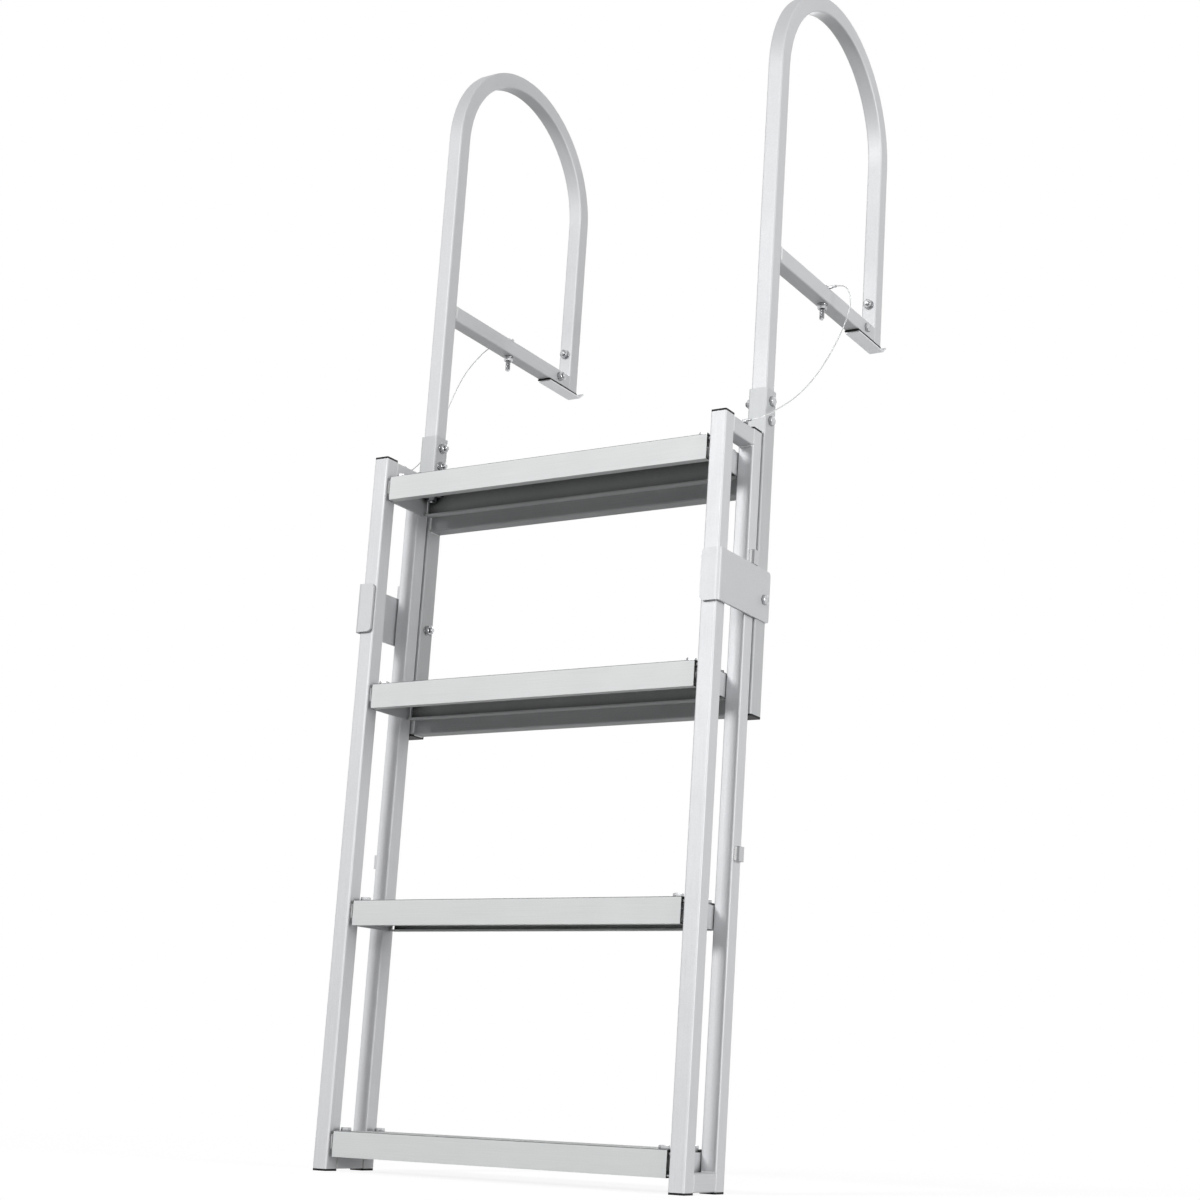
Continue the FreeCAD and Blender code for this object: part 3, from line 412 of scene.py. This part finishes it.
tube_bead = weld_bead(TUBE - 2 * WELD_INSET)
beads = []
for name in ("upper_cross_tube", "lower_cross_tube"):
    low, high = box(name)
    for x in (low.x, high.x):
        for y in (low.y, high.y):
            beads.append((tube_bead, run_from((x, y, low.z + WELD_INSET), (x, y, high.z))))
        for z in (low.z, high.z):
            beads.append((tube_bead, run_from((x, low.y + WELD_INSET, z), (x, high.y, z))))
join_copies("cross_tube_welds", beads, weld_metal, "deck_frame")

# Handrails: each one length of the same tube, bent to a half circle, so its
# die lines follow the bend and only the blasted grain shows. The deck bar
# is welded to the long leg and screwed to the short one through a solid elbow.

bent_tube = anodised_aluminium("anodised_tube_bent", "#d5d6d8", "#c7c8ca", EVERY_WAY)
fore_aft_tube = anodised_aluminium(
    "anodised_tube_fore_aft", "#d4d5d7", "#c6c7c9", FORE_AFT, metallic=0.35)
finish_node(bent_tube, *both_sides("handrail"), *both_sides("elbow_joiner"))
finish_node(fore_aft_tube, *both_sides("deck_bar"))

beads = []
for name in both_sides("deck_bar"):
    low, high = box(name)
    for x in (low.x, high.x):
        beads.append((tube_bead, run_from((x, low.y, low.z + WELD_INSET), (x, low.y, high.z))))
    for z in (low.z, high.z):
        beads.append((tube_bead, run_from((low.x + WELD_INSET, low.y, z), (high.x, low.y, z))))
join_copies("deck_bar_welds", beads, weld_metal, "deck_frame")

# Deck plates and pads: a strip of aluminium sheet with its rear end turned up,
# rolled finish, under a black rubber pad that keeps the tubes off it.

sheet_metal = anodised_aluminium("anodised_sheet", "#e2e3e5", "#d0d1d3", FORE_AFT, metallic=0.75)
finish_node(sheet_metal, *both_sides("deck_plate"))

pad_rubber, tree = new_material("black_rubber")
place = object_place(tree)
bloom = noise(tree, place, 6, 4)
pores = noise(tree, place, 0.8, 2)
cover(tree, {
    "Base Color": mix(tree, bloom, linear("#131314"), linear("#242526")),
    "Specular IOR Level": 0.25, "Roughness": 0.8, "Normal": relief(tree, pores, 0.1, 0.5)})
finish_node(pad_rubber, *both_sides("deck_pad"))

# Slide brackets: bent aluminium plate, blasted after bending, so its grain
# runs every way.

plate_metal = anodised_aluminium("anodised_plate", "#d3d4d6", "#c5c6c8", EVERY_WAY)
finish_node(plate_metal, *both_sides("slide_bracket"))

# Bolts of the fixed frame: M8 hexagon bolts of stainless steel, cold headed
# with rolled threads, each with a washer and nut. Two hold each handrail in
# its post, one each bracket, one goes down to the deck, two hold each elbow.


def stainless_steel(name, pale, deep, roughness, corner="#29292b"):
    """Stainless steel as headed and tumbled: bright, with fine marks near
    0.1 mm that are drawn at 0.5 mm, and painted shade in its corners, a deep tone mixed in by
    ambient occlusion."""
    material, tree = new_material(name)
    place = object_place(tree)
    marks = noise(tree, place, 0.5, 3)
    tone = mix(tree, noise(tree, place, 5, 2), linear(deep), linear(pale))
    dullness = add_node(tree, "ShaderNodeMapRange", {
        "Value": marks, "To Min": roughness - 0.08, "To Max": roughness + 0.08})
    cover(tree, {
        "Base Color": painted_hollow_shade(tree, tone, corner, 4), "Metallic": 1,
        "Roughness": dullness.outputs[0], "Normal": relief(tree, marks, 0.03, 0.3)})
    return material


bolt_steel = stainless_steel("stainless_bolts", "#e6e7e9", "#8f9092", 0.2)

# Shares of the bolt's diameter
HEX_RADIUS = 0.95
HEAD_HEIGHT = 0.65
HEAD_RIM = 0.12
HEAD_DISH = 0.035
NUT_HEIGHT = 0.8
NUT_RIM = 0.2
COUNTERSINK = 0.04
COUNTERSINK_DEPTH = 0.05
SHANK_RADIUS = 0.49
THREAD_CHAMFER = 0.12

# Shares of the hexagon's radius: where the turned cone begins and ends
CONE_TOP = 0.83
CONE_FOOT = 1.03

# Shares of the thread's pitch: its depth, and where its flat crest begins and ends
THREAD_DEPTH = 0.6
CREST_LOW = 0.42
CREST_HIGH = 0.58
THREAD_END = 0.84  # radius of the chamfered end, as a share of the crest's

WASHER = 1.6
JOINED = 0.002 * MM  # points nearer than this are one


def edit(piece):
    """Open a piece for editing with nothing in it selected."""
    bpy.ops.object.select_all(action="DESELECT")
    piece.select_set(True)
    bpy.context.view_layer.objects.active = piece
    bpy.ops.object.mode_set(mode="EDIT")
    bpy.ops.mesh.select_all(action="DESELECT")


def hexagon_blank(diameter, height, both_ends):
    """Head or nut from z = 0 up: a hexagon whose corners a cone has turned
    off at 30 degrees, at the top or at both ends."""
    corner = HEX_RADIUS * diameter * MM
    flat = CONE_TOP * corner
    wide = CONE_FOOT * corner
    slope = (wide - flat) * math.tan(math.radians(30))
    tall = height * MM
    bpy.ops.object.select_all(action="DESELECT")
    bpy.ops.mesh.primitive_circle_add(
        vertices=48, radius=flat if both_ends else wide, fill_type="NGON")
    turned = bpy.context.object
    bpy.ops.object.mode_set(mode="EDIT")
    if both_ends:
        bpy.ops.mesh.extrude_region_move(TRANSFORM_OT_translate={"value": (0, 0, slope)})
        bpy.ops.transform.resize(value=(wide / flat, wide / flat, 1))
        tall_side = tall - 2 * slope
    else:
        tall_side = tall - slope
    bpy.ops.mesh.extrude_region_move(TRANSFORM_OT_translate={"value": (0, 0, tall_side)})
    bpy.ops.mesh.extrude_region_move(TRANSFORM_OT_translate={"value": (0, 0, slope)})
    bpy.ops.transform.resize(value=(flat / wide, flat / wide, 1))
    bpy.ops.mesh.select_all(action="SELECT")
    bpy.ops.mesh.normals_make_consistent(inside=False)
    bpy.ops.object.mode_set(mode="OBJECT")
    bpy.ops.mesh.primitive_cylinder_add(
        vertices=6, radius=corner, depth=3 * tall, location=(0, 0, tall / 2))
    blank = bpy.context.object
    bpy.ops.object.transform_apply(location=True, rotation=True, scale=True)
    meet = blank.modifiers.new("turned_corners", "BOOLEAN")
    meet.operation = "INTERSECT"
    meet.solver = "EXACT"
    meet.object = turned
    bpy.ops.object.modifier_apply(modifier=meet.name)
    bpy.data.objects.remove(turned)
    edit(blank)
    bpy.ops.mesh.select_all(action="SELECT")
    bpy.ops.mesh.remove_doubles(threshold=JOINED)
    bpy.ops.object.mode_set(mode="OBJECT")
    return blank


def bolt_head(diameter):
    """Head with a shallow dished top."""
    head = hexagon_blank(diameter, HEAD_HEIGHT * diameter, False)
    edit(head)
    mesh = bmesh.from_edit_mesh(head.data)
    for face in mesh.faces:
        face.select = face.normal.z > 0.99
    bmesh.update_edit_mesh(head.data)
    bpy.ops.mesh.inset(thickness=HEAD_RIM * diameter * MM)
    bpy.ops.transform.translate(value=(0, 0, -HEAD_DISH * diameter * MM))
    bpy.ops.object.mode_set(mode="OBJECT")
    return take_mesh(head)


def bolt_nut(diameter):
    """Nut with a countersink round the thread on both faces."""
    nut = hexagon_blank(diameter, NUT_HEIGHT * diameter, True)
    edit(nut)
    mesh = bmesh.from_edit_mesh(nut.data)
    for face in mesh.faces:
        face.select = abs(face.normal.z) > 0.99
    bmesh.update_edit_mesh(nut.data)
    bpy.ops.mesh.inset(thickness=NUT_RIM * diameter * MM)
    bpy.ops.object.mode_set(mode="OBJECT")
    edit(nut)

    def off_axis(face):
        return face.calc_center_median().to_2d().length + face.calc_area()

    for up in (1, -1):
        bpy.ops.mesh.select_all(action="DESELECT")
        mesh = bmesh.from_edit_mesh(nut.data)
        ends = [face for face in mesh.faces if face.normal.z * up > 0.99]
        min(ends, key=off_axis).select = True
        bmesh.update_edit_mesh(nut.data)
        bpy.ops.mesh.inset(thickness=COUNTERSINK * diameter * MM)
        bpy.ops.transform.translate(value=(0, 0, -up * COUNTERSINK_DEPTH * diameter * MM))
    bpy.ops.object.mode_set(mode="OBJECT")
    return take_mesh(nut)


def bolt_washer(diameter):
    """Flat washer from z = 0 up, with its punched edges rounded."""
    bpy.ops.object.select_all(action="DESELECT")
    bpy.ops.mesh.primitive_cylinder_add(
        vertices=40, radius=diameter * MM, depth=WASHER * MM, location=(0, 0, WASHER * MM / 2))
    washer = bpy.context.object
    bpy.ops.object.transform_apply(location=True, rotation=True, scale=True)
    soft = washer.modifiers.new("punched_edge", "BEVEL")
    soft.width = 0.3 * MM
    soft.segments = 2
    bpy.ops.object.modifier_apply(modifier=soft.name)
    return take_mesh(washer)


def bolt_thread(diameter, pitch, length):
    """Rolled thread from z = -length up to 0, with a chamfered end."""
    crest = diameter / 2 * MM
    root = (diameter / 2 - THREAD_DEPTH * pitch) * MM
    turns = math.ceil(length / pitch) + 2
    bpy.ops.object.select_all(action="DESELECT")
    profile = bpy.data.meshes.new("thread_profile")
    rise = pitch * MM
    profile.from_pydata([
        (root, 0, 0), (crest, 0, CREST_LOW * rise),
        (crest, 0, CREST_HIGH * rise), (root, 0, rise)], [(0, 1), (1, 2), (2, 3)], [])
    thread = bpy.data.objects.new("thread", profile)
    bpy.context.scene.collection.objects.link(thread)
    thread.select_set(True)
    bpy.context.view_layer.objects.active = thread
    winding = thread.modifiers.new("winding", "SCREW")
    winding.steps = 20
    winding.render_steps = 20
    winding.screw_offset = rise
    winding.iterations = turns
    winding.use_merge_vertices = True
    winding.merge_threshold = JOINED / 2
    bpy.ops.object.modifier_apply(modifier=winding.name)
    edit(thread)
    bpy.ops.mesh.select_all(action="SELECT")
    bpy.ops.mesh.remove_doubles(threshold=JOINED)
    bpy.ops.transform.translate(value=(0, 0, -(length * MM + 1.2 * rise)))
    bpy.ops.mesh.select_all(action="SELECT")
    bpy.ops.mesh.bisect(plane_co=(0, 0, 0), plane_no=(0, 0, 1), use_fill=True, clear_outer=True)
    bpy.ops.mesh.select_all(action="SELECT")
    chamfer = THREAD_CHAMFER * diameter * MM
    end = chamfer - length * MM
    bpy.ops.mesh.bisect(plane_co=(0, 0, end), plane_no=(0, 0, 1), use_fill=True, clear_inner=True)
    bpy.ops.mesh.extrude_region_move(TRANSFORM_OT_translate={"value": (0, 0, -chamfer)})
    bpy.ops.transform.resize(value=(THREAD_END, THREAD_END, 1))
    bpy.ops.mesh.select_all(action="SELECT")
    bpy.ops.mesh.normals_make_consistent(inside=False)
    bpy.ops.object.mode_set(mode="OBJECT")
    return take_mesh(thread)


def bolt_shank(diameter, length):
    """Plain shank from z = -length up to 0, with a small fillet under the head."""
    bpy.ops.object.select_all(action="DESELECT")
    bpy.ops.mesh.primitive_cylinder_add(
        vertices=24, radius=SHANK_RADIUS * diameter * MM, depth=length * MM,
        location=(0, 0, -length * MM / 2))
    shank = bpy.context.object
    bpy.ops.object.transform_apply(location=True, rotation=True, scale=True)
    soft = shank.modifiers.new("shank_ends", "BEVEL")
    soft.width = 0.2 * MM
    bpy.ops.object.modifier_apply(modifier=soft.name)
    return take_mesh(shank)


BOLT = 8
THREAD_PITCH = 1.25
NUT = NUT_HEIGHT * BOLT
hex_head, washer, hex_nut = bolt_head(BOLT), bolt_washer(BOLT), bolt_nut(BOLT)
shanks = {}


def bolt_copies(grip, tail, spot, turn):
    """Copies for one M8 bolt, washer and nut, which hold grip millimetres. The
    underside of the head is at the spot, the shank runs to -Z of the turned
    frame, as in the CAD, and its tail stands out of the nut."""
    place = Matrix.Translation(Vector(spot) * MM) @ turn.to_4x4()
    if (grip, tail) not in shanks:
        shanks[grip, tail] = (
            bolt_shank(BOLT, grip + WASHER + NUT / 2),
            bolt_thread(BOLT, THREAD_PITCH, NUT / 2 + tail),
        )
    shank, thread = shanks[grip, tail]

    def down(distance):
        return place @ Matrix.Translation((0, 0, -distance * MM))

    return [
        (hex_head, place),
        (shank, place),
        (washer, down(grip + WASHER)),
        (hex_nut, down(grip + WASHER + NUT)),
        (thread, down(grip + WASHER + NUT / 2)),
    ]


HEAD_UP = Matrix.Identity(3)
HEAD_REAR = Matrix.Rotation(math.radians(-90), 3, "X")
HEAD_OUT = {
    "left": Matrix.Rotation(math.radians(-90), 3, "Y"),
    "right": Matrix.Rotation(math.radians(90), 3, "Y"),
}
TAIL = 4                    # thread that stands out of the nut
STUD_TAIL = 17              # the same, under the deck bar
EYELET = 1.2                # thickness under a bolt's head
POST_BOLT_DROPS = (18, 48)  # below the post's top
BRACKET_PLATE = 3.5
BRACKET_BOLT_RISE = 31      # above the bracket's foot
LEG_BOLT_HEIGHT = 70.5
BAR_BOLT_Y = -20

for side, x in SIDE_X.items():
    outward = OUTWARD[side]
    post_low, post_high = box(f"{side}_post")
    post_y = (post_low.y + post_high.y) / 2
    bracket_foot = box(f"{side}_slide_bracket")[0].z
    bolt_rows = [(POST / 2, post_high.z - drop) for drop in POST_BOLT_DROPS]
    bolt_rows.append((POST / 2 + BRACKET_PLATE, bracket_foot + BRACKET_BOLT_RISE))
    copies = []
    for proud, z in bolt_rows:
        spot = (x + outward * proud, post_y, z)
        copies += bolt_copies(proud + POST / 2, TAIL, spot, HEAD_OUT[side])
    bolts = join_copies(f"{side}_post_fixings", copies, bolt_steel, "deck_frame")
    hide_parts(f"{side}_post_bolts")

    bar_low, bar_high = box(f"{side}_deck_bar")
    stud = (x, middle("upper_eyelets").y, bar_high.z + EYELET)
    leg = (x, box(f"{side}_handrail")[1].y, LEG_BOLT_HEIGHT)
    bar = (x + outward * TUBE / 2, BAR_BOLT_Y, (bar_low.z + bar_high.z) / 2)
    copies = bolt_copies(TUBE + EYELET, STUD_TAIL, stud, HEAD_UP)
    copies += bolt_copies(TUBE, TAIL, leg, HEAD_REAR)
    copies += bolt_copies(TUBE, TAIL, bar, HEAD_OUT[side])
    bolts = join_copies(f"{side}_deck_fixings", copies, bolt_steel, "deck_frame")
    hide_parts(f"{side}_deck_bolts")

# Rails and spacers: the ladder's two side frames. Short cross pieces of the
# same tube are welded between the front and rear rail, flush at top and foot.

rail_tube = anodised_aluminium("anodised_rail_tube", "#dadbdd", "#cccdcf", UPRIGHT)
finish_node(rail_tube, *both_sides("front_rail"), *both_sides("rear_rail"))
finish_node(fore_aft_tube, *both_sides("spacers"))

# A seam's bead lies in the hollow between two rounded tube edges
SEAM_END = 1
SEAM_DEPTH = 1.1
SEAM_BACK = 0.9
seam_bead = weld_bead(TUBE - 2 * SEAM_END, radius=2.1)
for side, x in SIDE_X.items():
    beads = []
    spacer_low, spacer_high = box(f"{side}_spacers")
    top_spacer, foot_spacer = spacer_high.z - TUBE, spacer_low.z
    for low, inner in ((top_spacer, top_spacer), (foot_spacer, foot_spacer + TUBE)):
        for y, back in ((spacer_low.y, -SEAM_BACK), (spacer_high.y, SEAM_BACK)):
            for face in (-1, 1):
                edge = x + face * (TUBE / 2 - SEAM_DEPTH)
                start, end = (edge, y + back, low + SEAM_END), (edge, y + back, low + TUBE)
                beads.append((seam_bead, run_from(start, end)))
            start, end = (x - TUBE / 2 + WELD_INSET, y, inner), (x + TUBE / 2, y, inner)
            beads.append((tube_bead, run_from(start, end)))
    join_copies(f"{side}_spacer_welds", beads, weld_metal, "ladder")

# Stops: small aluminium blocks welded to the outer faces of the rear rails.
# They land on the slide brackets from above and from below.

block_metal = anodised_aluminium("anodised_block", "#dadbdd", "#cbccce", EVERY_WAY, metallic=0.12)
finish_node(block_metal, *both_sides("stops"))

STOP_HEIGHT = 21
STOP_BEAD_END = 0.5
stop_bead = weld_bead(STOP_HEIGHT - 2 * STOP_BEAD_END, radius=3.5, ripple=2.6)
for side, x in SIDE_X.items():
    beads = []
    root = x + OUTWARD[side] * TUBE / 2
    stops_low, stops_high = box(f"{side}_stops")
    for low in (stops_high.z - STOP_HEIGHT, stops_low.z):
        for y in (stops_low.y, stops_high.y):
            start, end = (root, y, low + STOP_BEAD_END), (root, y, low + STOP_HEIGHT)
            beads.append((stop_bead, run_from(start, end)))
    join_copies(f"{side}_stop_welds", beads, weld_metal, "ladder")

# Treads: aluminium extrusions with an open underside and a ribbed top, sawn
# to length and anodised. Each end lies on an angle that is welded between
# the rails, and two M8 bolts go down through both.

TREADS = ("tread_1", "tread_2", "tread_3", "tread_4")
# The treads' undersides and hollows get painted shade within 50 mm, and their rounded upper edges
# a painted dark reflection.
tread_metal = anodised_aluminium(
    "anodised_tread", "#eceeee", "#dfe1e1", SIDEWAYS,
    metallic=0.08, gloss=0.25, painted_dark_edge="#6f7172", hollow=50)
finish_node(tread_metal, *TREADS)
# The angles get painted shade in their hollows within 16 mm.
shelf_metal = anodised_aluminium("anodised_shelf", "#d3d4d6", "#c5c6c8", EVERY_WAY, hollow=16)
finish_node(shelf_metal, *both_sides("tread_brackets"))

SHELF_BEAD_DROP = 5  # below the tread's top
SHELF_BEAD = 21
shelf_bead = weld_bead(SHELF_BEAD, radius=1.8)
for side, x in SIDE_X.items():
    beads = []
    face = x - OUTWARD[side] * TUBE / 2
    shelf_low, shelf_high = box(f"{side}_tread_brackets")
    for tread in TREADS:
        high = box(tread)[1].z - SHELF_BEAD_DROP
        for y in (shelf_low.y, shelf_high.y):
            beads.append((shelf_bead, run_from((face, y, high - SHELF_BEAD), (face, y, high))))
    join_copies(f"{side}_shelf_welds", beads, weld_metal, "ladder")

TREAD_BOLT_PITCH = 75
TREAD_BOLT_INSET = 12
TREAD_GRIP = 7
TREAD_BOLT_TAIL = 2
LANYARD_SCREW = 5
LANYARD_SCREW_LENGTH = 10
for side, x in SIDE_X.items():
    copies = []
    for tread in TREADS:
        low, high = box(tread)
        end = low.x if side == "left" else high.x
        ladder_y = (low.y + high.y) / 2
        for y in (ladder_y - TREAD_BOLT_PITCH / 2, ladder_y + TREAD_BOLT_PITCH / 2):
            spot = (end - OUTWARD[side] * TREAD_BOLT_INSET, y, high.z)
            copies += bolt_copies(TREAD_GRIP, TREAD_BOLT_TAIL, spot, HEAD_UP)
    screw_spot = (x, middle("lower_eyelets").y, box(f"{side}_spacers")[1].z + EYELET)
    place = Matrix.Translation(Vector(screw_spot) * MM)
    copies += [
        (bolt_head(LANYARD_SCREW), place),
        (bolt_shank(LANYARD_SCREW, LANYARD_SCREW_LENGTH), place),
    ]
    bolts = join_copies(f"{side}_ladder_fixings", copies, bolt_steel, "ladder")
    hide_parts(f"{side}_ladder_bolts")

# Caps and plugs: black polyethylene, moulded with a faint grain, pushed into
# the open ends of the rails and of the posts.

cap_plastic, tree = new_material("moulded_black_polyethylene")
place = object_place(tree)
pebble = add_node(tree, "ShaderNodeTexVoronoi", {"Vector": place, "Scale": 1 / (0.9 * MM)})
flow = noise(tree, place, 12, 2)
cover(tree, {
    "Base Color": mix(tree, flow, linear("#08080a"), linear("#111214")),
    "Specular IOR Level": 0.2, "Roughness": 0.55,
    "Normal": relief(tree, pebble.outputs["Distance"], 0.08, 0.4)})
finish_node(cap_plastic, *both_sides("rail_caps"), *both_sides("post_plug"))

# Lanyards: 2 mm stainless wire rope of six strands, with a crimped eyelet at
# each end. The upper one is under the deck bolt and the lower one under a
# screw on the ladder, so the rope bends as the ladder slides.

eyelet_steel = stainless_steel("stainless_eyelets", "#c6c7c9", "#9d9ea0", 0.3)
finish_node(eyelet_steel, "upper_eyelets", "lower_eyelets")
# The rope's grooves between strands get a pale painted shade.
rope_steel = stainless_steel("stainless_wire_rope", "#e3e4e4", "#cdcecf", 0.4, corner="#bcbdbe")

ROPE = 2
ROPE_LAY = 13
STRANDS = 6
STRAND = ROPE / 6  # a strand's radius: three strands lie across the rope
STRAND_ANGLES = (-20, -10, 0, 10, 20, 30)  # degrees from the strand's crest
NEAR_POINTS = 0.01  # points of the line that are nearer than this are one

# Outward from the side's axis, then Y and Z, in millimetres
ROPE_ROUTE = {
    "left": [
        (23, -153, 31.6), (33, -153, 31.6), (42, -156, 24), (45, -165, 13.5), (45, -183, -7),
        (44, -204, -32.5), (43, -222, -60), (42, -236, -87), (41, -256, -128), (40, -279, -176),
        (40, -299, -214), (39, -318, -240), (38, -343, -258), (40, -366, -266), (42, -381, -270),
        (39.5, -392, -271.6), (31.5, -397, -271.9), (23, -397, -271.9),
    ],
    "right": [
        (23, -153, 31.6), (33, -153, 31.6), (41.5, -150, 26.5), (45, -145.5, 15), (45, -144.5, -1),
        (43, -153, -28), (40, -171, -65), (37, -198, -107), (34, -230, -148), (32, -268, -186),
        (32, -307, -216), (34, -342, -238), (38, -368, -254), (41, -383, -262), (39, -392.5, -268),
        (32, -397, -271.9), (23, -397, -271.9),
    ],
}


def rope_line(name, route):
    """Points that follow the smooth line of the route."""
    curve = bpy.data.curves.new(name, "CURVE")
    curve.dimensions = "3D"
    spline = curve.splines.new("NURBS")
    spline.points.add(len(route) - 1)
    for point, spot in zip(spline.points, route):
        point.co = (*spot, 1)
    spline.order_u = 3
    spline.use_endpoint_u = True
    spline.resolution_u = 24
    line = bpy.data.objects.new(name, curve)
    bpy.context.scene.collection.objects.link(line)
    mesh = bpy.data.meshes.new_from_object(line)
    points = [vertex.co.copy() for vertex in mesh.vertices]
    bpy.data.objects.remove(line)
    bpy.data.meshes.remove(mesh)
    bpy.data.curves.remove(curve)
    steps = zip(points, points[1:])
    far = NEAR_POINTS * MM
    return points[:1] + [spot for before, spot in steps if (spot - before).length > far]


def strand_outline():
    """Radius at each angle of six round strands laid about a core."""
    strand = STRAND * MM
    centre = 2 * strand
    outline = []
    for lobe in range(STRANDS):
        for angle in STRAND_ANGLES:
            lean = math.radians(angle)
            depth = max(0, strand ** 2 - (centre * math.sin(lean)) ** 2)
            radius = centre * math.cos(lean) + math.sqrt(depth)
            outline.append((math.radians(360 / STRANDS * lobe) + lean, radius))
    return outline


def wire_rope(name, points):
    """Closed tube of the strands' outline, twisted once in each lay."""
    outline = strand_outline()
    mesh = bmesh.new()
    rings = []
    across = Vector((0, 1, 0)).cross(points[1] - points[0]).normalized()
    run = 0
    for index, spot in enumerate(points):
        before, after = points[max(index - 1, 0)], points[min(index + 1, len(points) - 1)]
        along = (after - before).normalized()
        across = (across - along * across.dot(along)).normalized()
        beside = along.cross(across)
        if index:
            run += (spot - before).length
        twist = 2 * math.pi * run / (ROPE_LAY * MM)
        ring = []
        for angle, radius in outline:
            turned = math.cos(angle + twist) * across + math.sin(angle + twist) * beside
            ring.append(mesh.verts.new(spot + radius * turned))
        rings.append(ring)
    count = len(outline)
    for lower, upper in zip(rings, rings[1:]):
        for index in range(count):
            following = (index + 1) % count
            mesh.faces.new((lower[index], lower[following], upper[following], upper[index]))
    mesh.faces.new(rings[0][::-1])
    mesh.faces.new(rings[-1])
    bmesh.ops.recalc_face_normals(mesh, faces=mesh.faces)
    data = bpy.data.meshes.new(name)
    mesh.to_mesh(data)
    mesh.free()
    rope = bpy.data.objects.new(name, data)
    bpy.context.scene.collection.objects.link(rope)
    return rope


for side, x in SIDE_X.items():
    route = [Vector((x + OUTWARD[side] * out, y, z)) * MM for out, y, z in ROPE_ROUTE[side]]
    points = rope_line(f"{side}_rope_route", route)
    rope = wire_rope(f"{side}_wire_rope", points)
    rope.data.materials.append(rope_steel)
    shade_round(rope, 60)
    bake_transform(rope)
    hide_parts(f"{side}_lanyard")
